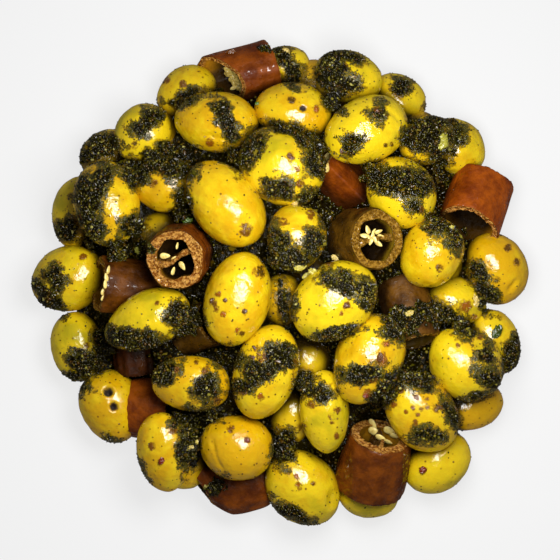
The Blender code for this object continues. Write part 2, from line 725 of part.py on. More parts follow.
def boolean(obj, collection, operation):
    """Joins the collection's objects to the object or cuts them from it, and removes them."""
    modifier = obj.modifiers.new(operation.lower(), "BOOLEAN")
    modifier.operation = operation
    modifier.operand_type = "COLLECTION"
    modifier.collection = collection
    modifier.solver = "MANIFOLD"
    graph = bpy.context.evaluated_depsgraph_get()
    result = bpy.data.meshes.new_from_object(obj.evaluated_get(graph))
    obj.modifiers.remove(modifier)
    obj.data = result
    for used in list(collection.objects):
        bpy.data.objects.remove(used)
    bpy.data.collections.remove(collection)
    return largest_body(result)


def thin_out(obj, most_faces):
    """Collapses the shortest and flattest edges, which the union leaves along its seams."""
    modifier = obj.modifiers.new("thin_out", "DECIMATE")
    modifier.ratio = min(1.0, most_faces / len(obj.data.polygons))
    graph = bpy.context.evaluated_depsgraph_get()
    result = bpy.data.meshes.new_from_object(obj.evaluated_get(graph))
    obj.modifiers.remove(modifier)
    obj.data = result
    return largest_body(result)


def give_material(obj, colour, roughness):
    material = bpy.data.materials.new(obj.name)
    material.use_nodes = True
    shader = material.node_tree.nodes["Principled BSDF"]
    shader.inputs["Base Color"].default_value = colour
    shader.inputs["Roughness"].default_value = roughness
    obj.data.materials.clear()
    obj.data.materials.append(material)


def main():
    clear_scene()
    heap = Heap()
    body = core_object(heap)
    food = new_collection("food")
    for piece in heap.olives:
        olive_object(piece, food)
    for piece in heap.fillers:
        olive_object(piece, food, FILLER_OLIVE_SIDES, FILLER_OLIVE_RINGS)
    for name in CLOTS:
        clot_object(name, heap, food)
    print(len(heap.fillers), "fillers, heap bodies", boolean(body, food, "UNION"))
    print("thinned out", thin_out(body, HEAP_FACES))
    pockets = new_collection("pockets")
    for piece in heap.chillies:
        envelope_object(piece, pockets)
    print("bodies once the pockets are cut", boolean(body, pockets, "DIFFERENCE"))
    give_material(body, OLIVE_COLOUR, 0.3)
    for piece in heap.chillies:
        tube = tube_object(piece)
        if piece.name in RIBS:
            inside = new_collection("inside")
            rib_and_seeds(piece, inside)
            print(piece.name, boolean(tube, inside, "UNION"))
        give_material(tube, CHILLI_COLOURS.get(piece.name, CHILLI_COLOUR), 0.3)
    for obj in bpy.context.scene.objects:
        print(obj.name, len(obj.data.polygons), "faces")


main()
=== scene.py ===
# %% [markdown]
# # A heap of marinated olives, seen from straight above
# The real thing is several dozen green olives, tipped out into a round mound. Between them lie
# thick slices of pickled chilli, and dark clots of chopped herb stick to everything. This notebook
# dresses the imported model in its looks. Each step says what a thing is on the real object, how it
# could be made, and why it is made this way.

# %% [markdown]
# ## The frame
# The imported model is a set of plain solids: one for the olives, and one for each slice of chilli.
# Everything made here has to lie where those solids lie, so they are loaded first and measured.

import json
import math
import random

import bmesh
import bpy
import numpy as np
from mathutils import Matrix, Vector
from mathutils.bvhtree import BVHTree

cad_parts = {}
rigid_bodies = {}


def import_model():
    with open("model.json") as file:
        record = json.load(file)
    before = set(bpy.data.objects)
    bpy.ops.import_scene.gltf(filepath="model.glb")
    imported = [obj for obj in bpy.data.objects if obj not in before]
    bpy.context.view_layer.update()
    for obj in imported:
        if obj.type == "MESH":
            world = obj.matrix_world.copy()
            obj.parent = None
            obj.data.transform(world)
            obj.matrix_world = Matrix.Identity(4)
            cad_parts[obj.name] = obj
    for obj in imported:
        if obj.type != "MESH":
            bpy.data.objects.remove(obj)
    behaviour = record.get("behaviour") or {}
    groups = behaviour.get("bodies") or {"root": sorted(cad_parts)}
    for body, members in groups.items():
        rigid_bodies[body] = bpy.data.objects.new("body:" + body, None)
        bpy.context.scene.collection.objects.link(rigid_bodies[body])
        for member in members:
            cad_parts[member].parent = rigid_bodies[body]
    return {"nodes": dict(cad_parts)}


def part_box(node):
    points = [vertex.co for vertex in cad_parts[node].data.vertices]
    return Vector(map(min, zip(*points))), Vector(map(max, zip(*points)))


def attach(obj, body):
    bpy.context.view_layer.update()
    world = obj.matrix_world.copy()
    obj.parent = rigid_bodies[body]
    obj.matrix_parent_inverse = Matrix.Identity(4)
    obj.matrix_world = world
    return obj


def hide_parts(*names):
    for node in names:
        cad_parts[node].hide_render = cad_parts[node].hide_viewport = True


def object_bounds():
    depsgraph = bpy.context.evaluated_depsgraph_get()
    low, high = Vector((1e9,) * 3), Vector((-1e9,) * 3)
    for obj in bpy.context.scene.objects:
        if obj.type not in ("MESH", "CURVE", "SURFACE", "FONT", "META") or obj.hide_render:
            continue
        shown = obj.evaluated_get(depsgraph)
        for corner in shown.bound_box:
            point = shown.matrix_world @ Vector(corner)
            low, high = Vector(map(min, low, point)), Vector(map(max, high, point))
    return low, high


for startup_object in list(bpy.data.objects):
    bpy.data.objects.remove(startup_object)
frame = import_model()
cad_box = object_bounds()
print(len(frame["nodes"]), "solids, from", tuple(cad_box[0]), "to", tuple(cad_box[1]))

# %% [markdown]
# ## The plan
# Looking straight down on a heap gives its plan: where each olive lies, how long and how wide it
# looks, and which way it is turned. These tables hold that plan in pixels of the photograph. The
# last number of an olive or a chilli is how many layers it lies below the top one. They could be
# read off the solids instead, but the olives are one solid there, and its facets say little.

# %% The olives and the chilli tubes on the plan
MM = 0.001
PIXEL = 148 * MM / 494
MIDDLE_PIXEL = (279.5, 282.8)

OLIVES = {
    "north_west_rim": (187, 93, 32, 27, 30, 1),
    "north_west_top": (143, 133, 31, 28, 50, 0.3),
    "under_west_clot": (164, 184, 31, 28, 0, 0.5),
    "west_long": (107, 204, 44, 33, 100, 0),
    "west_rim_upper": (80, 212, 38, 28, 75, 1),
    "west_tip": (68, 279, 37, 32, 20, 1),
    "west_rim_lower": (77, 348, 35, 27, 100, 1),
    "pitted": (112, 406, 37, 31, 110, 1),
    "south_west_rim": (164, 451, 39, 27, 98, 0.5),
    "south_west_oval": (191, 383, 39, 28, -5, 0),
    "west_slanting": (148, 320, 44, 28, 25, 0),
    "middle_long": (238, 300, 48, 33, 75, 0),
    "middle_slanting": (226, 204, 48, 34, -48, 0),
    "north_coated": (281, 167, 44, 39, -30, 0),
    "north_split": (217, 122, 42, 30, -5, 0),
    "north_smooth": (293, 112, 39, 29, -8, 0),
    "north_east_large": (366, 132, 43, 33, 25, 0),
    "north_east_rim": (397, 99, 30, 26, -35, 1),
    "north_coated_rim": (348, 78, 34, 27, -25, 1),
    "north_deep": (308, 82, 27, 22, 60, 1.5),
    "north_rim": (287, 68, 25, 22, 0, 1.9),
    "centre_coated": (296, 238, 33, 30, 80, 0),
    "centre_large": (333, 302, 46, 37, 35, 0),
    "south_long": (265, 371, 48, 32, 75, 0),
    "south_round": (237, 447, 37, 33, -20, 0),
    "south_slim": (325, 411, 41, 25, 93, 0),
    "south_tip": (301, 487, 41, 35, -50, 1),
    "south_east_bright": (366, 359, 47, 34, 68, 0),
    "south_east_speckled": (420, 412, 43, 33, -50, 0),
    "east_round": (465, 363, 38, 35, -40, 0),
    "east_plain": (431, 253, 36, 31, 60, 0),
    "east_banded": (400, 193, 38, 34, -50, 0),
    "north_east_tip": (455, 146, 32, 27, -40, 1),
    "under_east_clot": (426, 140, 28, 24, 20, 0.5),
    "east_tip": (495, 268, 37, 32, -52, 1),
    "east_deep": (455, 300, 30, 24, -20, 1),
    "east_rim": (494, 342, 33, 26, -65, 1.5),
    "south_east_tawny": (471, 407, 33, 24, 20, 1.5),
    "south_east_rim": (437, 463, 36, 30, 37, 1.5),
    "under_south_chilli": (370, 492, 31, 25, 0, 2),
    "centre_deep_south": (306, 362, 28, 24, 60, 1.5),
    "centre_deep": (283, 300, 28, 24, 90, 1.5),
    "south_deep": (292, 415, 28, 24, 90, 1.5),
    "centre_deep_east": (308, 272, 26, 22, 20, 1.5),
    "west_deep": (158, 235, 28, 24, 10, 1.5),
    "west_clot_rim": (103, 153, 26, 22, 40, 2),
}

# Each chilli tube: photo x and y of its middle, length and diameter in pixels, the way its open
# end faces in degrees, how far that end looks up in degrees, and its level.
CHILLIES = {
    "chilli_by_pitted_olive": (146, 409, 42, 60, 176, -14, 2.2),
    "chilli_north": (250, 70, 56, 54, 197, 10, 0.7),
    "chilli_upright_ring": (180, 256, 56, 63, 225, 78, 0.1),
    "chilli_west": (128, 286, 62, 54, 176, 16, 0.9),
    "chilli_shard": (341, 177, 58, 46, 135, 22, 0.8),
    "chilli_seeded_ring": (364, 240, 56, 62, 0, 64, 0.2),
    "chilli_east": (477, 203, 56, 62, 250, 24, 0.7),
    "chilli_under_clot": (408, 312, 66, 54, 285, 16, 0.8),
    "chilli_south_east": (377, 458, 76, 64, 78, 33, 0.5),
    "chilli_south_rim": (236, 486, 72, 50, 178, 3, 2.2),
    "chilli_deep_west": (133, 352, 44, 42, 95, 10, 1.8),
    "chilli_deep_middle": (198, 331, 44, 44, 30, 38, 1.2),
}
print(len(OLIVES), "olives and", len(CHILLIES), "chilli tubes on the plan")

# %% The clots of chopped herb on the plan
# Photo x, photo y, half length, half width, turn in degrees, thickness in mm.
CLOTS = (
    (104, 175, 10, 8, 40, 2.2), (91, 194, 21, 14, 65, 2.6), (90, 226, 17, 15, 100, 2.2),
    (68, 228, 13, 10, 20, 1.6), (150, 118, 13, 8, 60, 2.0), (140, 130, 8, 6, 0, 1.2),
    (158, 158, 14, 11, 30, 2.4), (177, 163, 22, 18, -10, 3.0), (135, 172, 12, 13, 60, 2.4),
    (95, 148, 19, 10, 45, 2.8), (108, 150, 12, 8, 0, 1.8), (188, 97, 14, 7, 28, 1.8),
    (225, 118, 19, 8, -62, 2.4), (232, 137, 8, 7, 0, 1.6), (270, 44, 10, 8, 0, 2.6),
    (284, 55, 9, 8, -50, 2.4), (295, 76, 9, 9, 0, 2.4), (331, 71, 20, 14, 85, 2.2),
    (345, 55, 18, 5, -22, 1.8), (343, 86, 16, 9, 10, 1.4), (333, 102, 12, 7, -50, 2.2),
    (351, 145, 9, 8, 30, 2.2), (377, 113, 7, 8, 0, 1.0), (402, 86, 9, 7, -20, 1.2),
    (424, 137, 21, 17, 10, 3.0), (440, 119, 14, 9, -20, 2.8), (456, 135, 10, 9, -40, 2.2),
    (440, 155, 14, 8, 10, 2.4), (402, 183, 32, 14, -5, 3.0), (376, 178, 12, 15, 80, 2.6),
    (414, 207, 7, 5, 60, 1.6), (438, 172, 8, 14, 0, 2.0), (251, 150, 20, 10, 65, 1.8),
    (285, 128, 19, 6, -8, 2.0), (309, 141, 16, 9, -40, 2.4), (316, 163, 17, 9, -75, 2.4),
    (279, 189, 15, 9, -10, 2.0), (308, 197, 12, 7, 0, 2.0), (278, 241, 9, 16, 10, 1.8),
    (313, 243, 10, 13, 0, 2.0), (290, 260, 20, 11, 0, 2.6), (326, 216, 5, 12, -20, 2.0),
    (286, 303, 16, 9, 100, 2.4), (343, 283, 22, 9, -22, 2.4), (364, 292, 14, 9, -70, 2.4),
    (333, 334, 22, 6, 12, 1.4), (402, 322, 20, 17, 30, 3.0), (433, 313, 22, 12, -8, 3.0),
    (463, 327, 14, 8, -25, 2.6), (476, 270, 8, 8, 0, 1.8), (486, 293, 17, 10, -75, 2.6),
    (436, 227, 9, 9, 0, 1.8), (457, 237, 9, 13, -20, 2.2), (485, 353, 8, 7, 60, 1.6),
    (488, 376, 14, 8, -30, 1.8), (478, 396, 16, 4, 15, 1.4), (512, 356, 21, 8, 75, 2.4),
    (362, 373, 20, 9, 5, 2.0), (388, 388, 24, 11, 50, 2.6), (414, 378, 20, 10, -22, 2.0),
    (450, 412, 15, 6, -65, 2.0), (427, 434, 14, 7, 0, 1.2), (320, 392, 12, 8, -10, 1.6),
    (307, 385, 9, 12, 30, 1.2), (258, 371, 16, 11, 25, 2.2), (281, 356, 14, 12, -20, 2.2),
    (243, 385, 9, 7, 30, 1.6), (207, 387, 12, 13, -30, 2.4), (164, 371, 14, 11, 25, 2.2),
    (137, 341, 30, 12, -10, 3.0), (186, 318, 18, 16, -20, 2.8), (104, 342, 17, 10, 90, 2.6),
    (87, 362, 17, 11, -10, 2.4), (134, 226, 11, 10, 0, 2.4), (121, 250, 14, 11, 0, 2.4),
    (145, 247, 10, 13, 0, 2.2), (55, 278, 10, 10, 0, 1.2), (47, 297, 20, 7, -45, 2.0),
    (189, 440, 28, 10, 85, 3.0), (190, 419, 16, 9, 0, 2.6), (284, 448, 18, 11, 80, 2.6),
    (119, 447, 12, 5, -30, 2.0), (136, 466, 16, 6, -55, 2.2), (76, 383, 12, 8, -20, 2.2),
    (215, 485, 10, 9, 0, 1.8), (291, 512, 22, 5, -28, 1.8), (183, 208, 8, 20, 0, 2.4),
    (236, 159, 12, 7, -10, 2.2), (229, 357, 15, 9, 0, 2.4), (206, 414, 12, 7, 0, 2.2),
)
print(len(CLOTS), "clots of herb")


def on_plan(photo_x, photo_y):
    """The place on the plan, in metres, of a pixel of the photograph."""
    return (photo_x - MIDDLE_PIXEL[0]) * PIXEL, (MIDDLE_PIXEL[1] - photo_y) * PIXEL


# %% [markdown]
# ## Letting the heap settle
# A plan has no heights. Real olives rest on each other, and a heap of them is a low dome. A rigid
# body simulation could drop them in, but they would roll away from the plan. So each piece starts
# on a dome and is pushed away from those it overlaps, mostly up and down. The solids were laid
# out by the same rules, so the pieces here land inside them.

# %% The pieces and the dome that they start on
CROWN_HEIGHT = 37 * MM
RIM_HEIGHT = 9.5 * MM
DOME_RADIUS = 68 * MM
DOME_POWER = 0.85
LEVEL_DROP = 8 * MM
AXIS_FOLLOWS_DOME = 0.55
MOST_STRETCH = 1.12
EDGE_BALL = 2.6 * MM
EDGE_BALLS = 8
END_BALL = 0.86


def facing(azimuth, lift):
    """The unit vector that points azimuth degrees round from +X and lift degrees up."""
    azimuth, lift = math.radians(azimuth), math.radians(lift)
    return Vector((math.cos(azimuth) * math.cos(lift), math.sin(azimuth) * math.cos(lift), math.sin(lift)))


def dome(x, y):
    """The height at which the middle of a top-layer piece lies."""
    share = max(0.0, 1 - (x * x + y * y) / DOME_RADIUS**2)
    return RIM_HEIGHT + (CROWN_HEIGHT - RIM_HEIGHT) * share**DOME_POWER


def slope(x, y):
    """How the dome falls away: its rise per metre along x and along y."""
    step = 2 * MM
    return (
        (dome(x + step, y) - dome(x - step, y)) / (2 * step),
        (dome(x, y + step) - dome(x, y - step)) / (2 * step),
    )


class Piece:
    """An olive or a chilli tube: its middle, its long axis, and its half sizes."""

    def __init__(self, name, kind, middle, axis, half_length, half_width):
        self.name = name
        self.kind = kind
        self.middle = np.array(middle, float)
        self.axis = Vector(axis).normalized()
        self.half_length = half_length
        self.half_width = half_width

    def turn(self):
        """The turn that carries a shape made along +Z onto the piece's axis."""
        return np.array(self.axis.to_track_quat("Z", "Y").to_matrix())

    def balls(self):
        """Balls, as place from the middle and radius, that fill the piece while the heap settles."""
        along = np.array(self.axis)
        if self.kind == "olive":
            end = END_BALL * self.half_width
            reach = self.half_length - end
            return [(-reach * along, end), (0 * along, self.half_width), (reach * along, end)]
        turn = self.turn()
        found = [(0 * along, min(self.half_width, self.half_length))]
        for step in range(EDGE_BALLS):
            angle = step * math.tau / EDGE_BALLS
            out = turn @ np.array((math.cos(angle), math.sin(angle), 0)) * (self.half_width - EDGE_BALL)
            for side in (-1, 0, 1):
                found.append((out + side * (self.half_length - EDGE_BALL) * along, EDGE_BALL))
        return found

    def lowest(self):
        """How far the piece reaches below its middle."""
        rise = abs(self.axis.z)
        level = math.sqrt(1 - rise * rise)
        if self.kind == "chilli":
            return self.half_length * rise + self.half_width * level
        return math.hypot(self.half_length * rise, self.half_width * level)


def olive_pieces():
    pieces = []
    for name, (px, py, long_half, wide_half, turn, level) in OLIVES.items():
        x, y = on_plan(px, py)
        along = facing(turn, 0)
        rise_x, rise_y = slope(x, y)
        along.z = AXIS_FOLLOWS_DOME * (rise_x * along.x + rise_y * along.y)
        half_length = long_half * PIXEL * min(along.length, MOST_STRETCH)
        height = dome(x, y) - level * LEVEL_DROP
        pieces.append(Piece(name, "olive", (x, y, height), along, half_length, wide_half * PIXEL))
    return pieces


def chilli_pieces():
    pieces = []
    for name, (px, py, length, width, azimuth, lift, level) in CHILLIES.items():
        x, y = on_plan(px, py)
        height = dome(x, y) - level * LEVEL_DROP
        axis = facing(azimuth, lift)
        pieces.append(Piece(name, "chilli", (x, y, height), axis, length * PIXEL / 2, width * PIXEL / 2))
    return pieces


# %% Pushing the pieces apart
SETTLE_STEPS = 260
SOFT_CONTACT = -0.7 * MM
CHILLI_CONTACT = -1.2 * MM
CHILLI_APART = 1.3 * MM
PLAN_GIVE = 0.08
PULL_TO_PLACE = (0.08, 0.08, 0.04)
PUSH = 0.35
FLOOR = 0.3 * MM


def settle(pieces):
    """Pushes overlapping pieces apart, mostly up and down."""
    owner, offset, radius = [], [], []
    for index, piece in enumerate(pieces):
        for away, size in piece.balls():
            owner.append(index)
            offset.append(away)
            radius.append(size)
    owner, offset, radius = np.array(owner), np.array(offset), np.array(radius)
    chilli = np.array([piece.kind == "chilli" for piece in pieces])[owner]
    contact = np.where(chilli[:, None] & chilli[None, :], CHILLI_APART, CHILLI_CONTACT)
    contact = np.where(~chilli[:, None] & ~chilli[None, :], SOFT_CONTACT, contact)
    reach = radius[:, None] + radius[None, :] + contact
    other = owner[:, None] != owner[None, :]
    home = np.array([piece.middle for piece in pieces])
    place = home.copy()
    pull = np.array(PULL_TO_PLACE)
    give = np.array([PLAN_GIVE, PLAN_GIVE, 1.0])
    low = np.array([piece.lowest() for piece in pieces]) + FLOOR
    for _ in range(SETTLE_STEPS):
        place += pull * (home - place)
        balls = place[owner] + offset
        between = balls[:, None, :] - balls[None, :, :]
        far = np.sqrt((between**2).sum(2)) + 1e-9
        depth = np.where(other, np.clip(reach - far, 0, None), 0)
        push = (between / far[:, :, None] * depth[:, :, None]).sum(1)
        hits = np.maximum((depth > 0).sum(1), 1)[:, None]
        move = np.zeros_like(place)
        np.add.at(move, owner, push / hits)
        place += PUSH * move * give
        place[:, 2] = np.maximum(place[:, 2], low)
    for piece, middle in zip(pieces, place):
        piece.middle = middle
    return pieces


shown = settle(olive_pieces() + chilli_pieces())
olives = [piece for piece in shown if piece.kind == "olive"]
chillies = [piece for piece in shown if piece.kind == "chilli"]
settle(chillies)
for piece in chillies:
    low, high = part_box(piece.name)
    away = (Vector(piece.middle) - (low + high) / 2).length
    print(piece.name, "is", round(away / MM, 2), "mm from its solid's middle")

# %% The olives of the lower layers
FILLER_RINGS = ((59 * MM, 8.9 * MM), (56 * MM, 8.9 * MM), (53 * MM, 17 * MM))
FILLER_STEPS = 48
FILLER_PRESS = 4 * MM
LOWEST_FILLER = 8.9 * MM
CARRIED_BEYOND = 38 * MM
CARRIED_ABOVE = 5 * MM
CARRIER_SHIFTS = (3 * MM, 0, 6 * MM, 9 * MM, 12 * MM)
CARRIER_CLOSE = 0.72
CARRIER_PRESS = 7 * MM
CHILLI_PRESS = 1.5 * MM
FILLER_LENGTH = 11 * MM
FILLER_WIDTH = 8.6 * MM


def press(piece, others):
    """How deep the piece presses into the one that it meets most."""
    balls = [(other.middle + away, size) for other in others for away, size in other.balls()]
    if not balls:
        return 0.0
    places = np.array([place for place, _ in balls])
    sizes = np.array([size for _, size in balls])
    depths = []
    for away, size in piece.balls():
        far = np.linalg.norm(places - piece.middle - away, axis=1)
        depths.append((size + sizes - far).max())
    return max(depths)


def filler_pieces():
    """One olive under each high one near the rim, then one wherever a ring has room."""
    chance = random.Random(11)
    pieces = []

    def lay(angle, radius, height):
        middle = (radius * math.cos(angle), radius * math.sin(angle), max(height, LOWEST_FILLER))
        axis = facing(math.degrees(angle) + chance.uniform(40, 140), chance.uniform(-15, 15))
        return Piece(f"filler_{len(pieces)}", "olive", middle, axis, FILLER_LENGTH, FILLER_WIDTH)

    for carried in shown:
        x, y, z = carried.middle
        far = math.hypot(x, y)
        if carried.kind == "chilli" or far < CARRIED_BEYOND or z - carried.lowest() < CARRIED_ABOVE:
            continue
        under = z - CARRIER_CLOSE * (carried.half_width + FILLER_WIDTH)
        for inward in CARRIER_SHIFTS:
            carrier = lay(math.atan2(y, x), far - inward, under)
            if press(carrier, chillies) < CHILLI_PRESS and press(carrier, pieces) < CARRIER_PRESS:
                pieces.append(carrier)
                break
    for radius, height in FILLER_RINGS:
        for step in range(FILLER_STEPS):
            filler = lay(math.tau * step / FILLER_STEPS, radius, height)
            if press(filler, shown + pieces) < FILLER_PRESS:
                pieces.append(filler)
    return pieces


fillers = filler_pieces()
print(len(fillers), "olives in the lower layers")

# %% [markdown]
# ## The heap as a height map
# Herb clots lie on whatever is under them, herb paste bridges the gaps, and painted shade makes a
# gap darker the deeper it is. All of that needs one answer: how high is the heap at this place?
# Casting rays would give it, but the pieces are ovals and tubes, so it is worked out straight from
# their sizes on a fine grid.

# %% Heights on a grid
CELL = 0.5 * MM
REACH = 80 * MM
CORE_RADIUS = 61 * MM
CORE_BELOW_MIDDLES = 4 * MM
DARK_RAISED = 2.5 * MM
CORE_BLEND = 9 * MM
LOWEST_CORE = 2 * MM

ticks = np.arange(-REACH, REACH + CELL / 2, CELL)
grid_x, grid_y = np.meshgrid(ticks, ticks, indexing="ij")


def oval_top(piece, x, y):
    """The highest point of an olive above each place on the plan, or minus infinity beside it."""
    ax, ay, az = piece.axis
    dx, dy = x - piece.middle[0], y - piece.middle[1]
    thin = 1 / piece.half_width**2
    more = 1 / piece.half_length**2 - thin
    flat = dx * ax + dy * ay
    a = thin + more * az * az
    b = 2 * more * az * flat
    c = thin * (dx * dx + dy * dy) + more * flat * flat - 1
    root = b * b - 4 * a * c
    top = piece.middle[2] + (-b + np.sqrt(np.maximum(root, 0))) / (2 * a)
    return np.where(root < 0, -np.inf, top)


def tube_top(piece, x, y):
    """The highest point of a closed tube above each place on the plan, or minus infinity beside it."""
    ax, ay, az = piece.axis
    dx, dy = x - piece.middle[0], y - piece.middle[1]
    flat = dx * ax + dy * ay
    a = 1 - az * az
    b = -2 * az * flat
    c = dx * dx + dy * dy - flat * flat - piece.half_width**2
    root = b * b - 4 * a * c
    spread = np.sqrt(np.maximum(root, 0))
    low, high = (-b - spread) / (2 * a), (-b + spread) / (2 * a)
    ends = np.stack(((-piece.half_length - flat) / az, (piece.half_length - flat) / az))
    low, high = np.maximum(low, ends.min(0)), np.minimum(high, ends.max(0))
    return np.where((root < 0) | (high < low), -np.inf, piece.middle[2] + high)


def core_height(x, y):
    """The hidden core follows the middles of the pieces near it, from a little below."""
    total, weight = np.zeros_like(x), np.full_like(x, 1e-9)
    for piece in shown:
        share = np.exp(-((x - piece.middle[0]) ** 2 + (y - piece.middle[1]) ** 2) / CORE_BLEND**2)
        total += share * piece.middle[2]
        weight += share
    return np.maximum(total / weight - CORE_BELOW_MIDDLES, LOWEST_CORE)


def heap_height(x, y):
    tops = [oval_top(piece, x, y) for piece in olives + fillers]
    tops += [tube_top(piece, x, y) for piece in chillies]
    tops.append(np.where(np.hypot(x, y) < CORE_RADIUS, core_height(x, y), 0.0))
    return np.maximum.reduce(tops)


surface = heap_height(grid_x, grid_y)
print("the heap is", round(surface.max() / MM, 1), "mm high")

# %% Smoothing and reading the map


def blurred(field, width):
    """The field with each value spread over its neighbours, width metres each way."""
    count = int(math.ceil(2.5 * width / CELL))
    kernel = np.exp(-0.5 * (np.arange(-count, count + 1) * CELL / width) ** 2)
    kernel /= kernel.sum()
    padded = np.pad(field, count, mode="edge")
    padded = np.stack([np.convolve(row, kernel, mode="valid") for row in padded])
    return np.stack([np.convolve(column, kernel, mode="valid") for column in padded.T]).T


def widened(field, width):
    """Each value becomes the largest of those within width metres."""
    count = int(round(width / CELL))
    result = field.copy()
    for i in range(-count, count + 1):
        for j in range(-count, count + 1):
            if i * i + j * j <= count * count:
                result = np.maximum(result, np.roll(field, (i, j), (0, 1)))
    return result


def read(field, x, y):
    """The field's value at any place on the plan."""
    u = np.clip((x + REACH) / CELL, 0, len(ticks) - 1.001)
    v = np.clip((y + REACH) / CELL, 0, len(ticks) - 1.001)
    i, j = u.astype(int), v.astype(int)
    u, v = u - i, v - j
    near = field[i, j] * (1 - v) + field[i, j + 1] * v
    far = field[i + 1, j] * (1 - v) + field[i + 1, j + 1] * v
    return near * (1 - u) + far * u


def smooth_step(low, high, value):
    share = np.clip((value - low) / (high - low), 0, 1)
    return share * share * (3 - 2 * share)


BRIDGED_GAP = 2.6 * MM
bridged = -widened(-widened(surface, BRIDGED_GAP), BRIDGED_GAP)
bridged = np.maximum(blurred(bridged, 0.8 * MM), surface)
level_round = blurred(surface, 5 * MM)
print("paste bridges gaps by up to", round((bridged - surface).max() / MM, 1), "mm")

# %% [markdown]
# ## Unevenness that is the same each time
# Nothing in the heap is a clean shape. A few cosine waves in random directions, added together,
# make a smooth unevenness that costs little and never changes between runs. Each thing gets its
# own directions from its name, so no two olives are alike.

# %% Waves


def waves(points, seed, count, shortest, longest):
    """Smooth unevenness between about -1 and 1 at the points, with wavelengths in their own units."""
    rng = np.random.default_rng(seed)
    total = np.zeros(len(points))
    for _ in range(count):
        direction = rng.normal(size=points.shape[1])
        direction /= np.linalg.norm(direction)
        length = rng.uniform(shortest, longest)
        total += np.cos(points @ direction * (math.tau / length) + rng.uniform(0, math.tau))
    return total / math.sqrt(count)


def own_seed(name):
    """A number that belongs to a name."""
    return sum((i + 1) * ord(letter) for i, letter in enumerate(name))


def mesh_object(name, points, faces, attributes=None, smooth=True):
    """A mesh object from arrays of points and of faces, with one number per point for each attribute."""
    mesh = bpy.data.meshes.new(name)
    mesh.from_pydata(np.asarray(points, float).tolist(), [], [list(map(int, face)) for face in faces])
    for key, values in (attributes or {}).items():
        layer = mesh.attributes.new(key, "FLOAT", "POINT")
        layer.data.foreach_set("value", np.asarray(values, np.float32))
    mesh.polygons.foreach_set("use_smooth", np.full(len(mesh.polygons), smooth))
    obj = bpy.data.objects.new(name, mesh)
    bpy.context.scene.collection.objects.link(obj)
    return obj


class Batch:
    """Several closed shapes that become one mesh."""

    def __init__(self):
        self.points, self.faces, self.attributes, self.count = [], [], {}, 0

    def add(self, points, faces, **attributes):
        self.points.append(points)
        self.faces.extend((np.asarray(face) + self.count).tolist() for face in faces)
        for key, values in attributes.items():
            spread = np.broadcast_to(np.asarray(values, float), (len(points),))
            self.attributes.setdefault(key, []).append(spread)
        self.count += len(points)

    def build(self, name):
        attributes = {key: np.concatenate(parts) for key, parts in self.attributes.items()}
        return mesh_object(name, np.concatenate(self.points), self.faces, attributes)


# %% [markdown]
# ## Reckoning with shader sockets
# A shader is arithmetic on textures. Wiring Math nodes by hand hides that, so a small class wraps
# a socket and turns + - * / into Math nodes, also where the number comes first. Every other node
# comes from one method that takes its settings and its inputs.

# %% A finish and its values


class Value:
    """A socket that can be reckoned with."""

    def __init__(self, tree, socket):
        self.tree = tree
        self.socket = socket


def sum_method(operation, reflected):
    """A method that makes a Math node, with the other number first where it is reflected."""

    def method(self, other):
        first, second = (other, self) if reflected else (self, other)
        return self.tree.node("ShaderNodeMath", {"operation": operation}, {0: first, 1: second})

    return method


for sign, operation in {"add": "ADD", "sub": "SUBTRACT", "mul": "MULTIPLY", "truediv": "DIVIDE"}.items():
    setattr(Value, f"__{sign}__", sum_method(operation, False))
    setattr(Value, f"__r{sign}__", sum_method(operation, True))


class Tree:
    """A node tree that nodes are added to with their settings and inputs in one call."""

    def __init__(self, tree):
        self.tree = tree

    def node(self, kind, settings=None, inputs=None, output=0):
        node = self.tree.nodes.new(kind)
        for key, value in (settings or {}).items():
            setattr(node, key, value)
        for key, value in (inputs or {}).items():
            if isinstance(value, Value):
                self.tree.links.new(value.socket, node.inputs[key])
            else:
                node.inputs[key].default_value = value
        return Value(self, node.outputs[output])


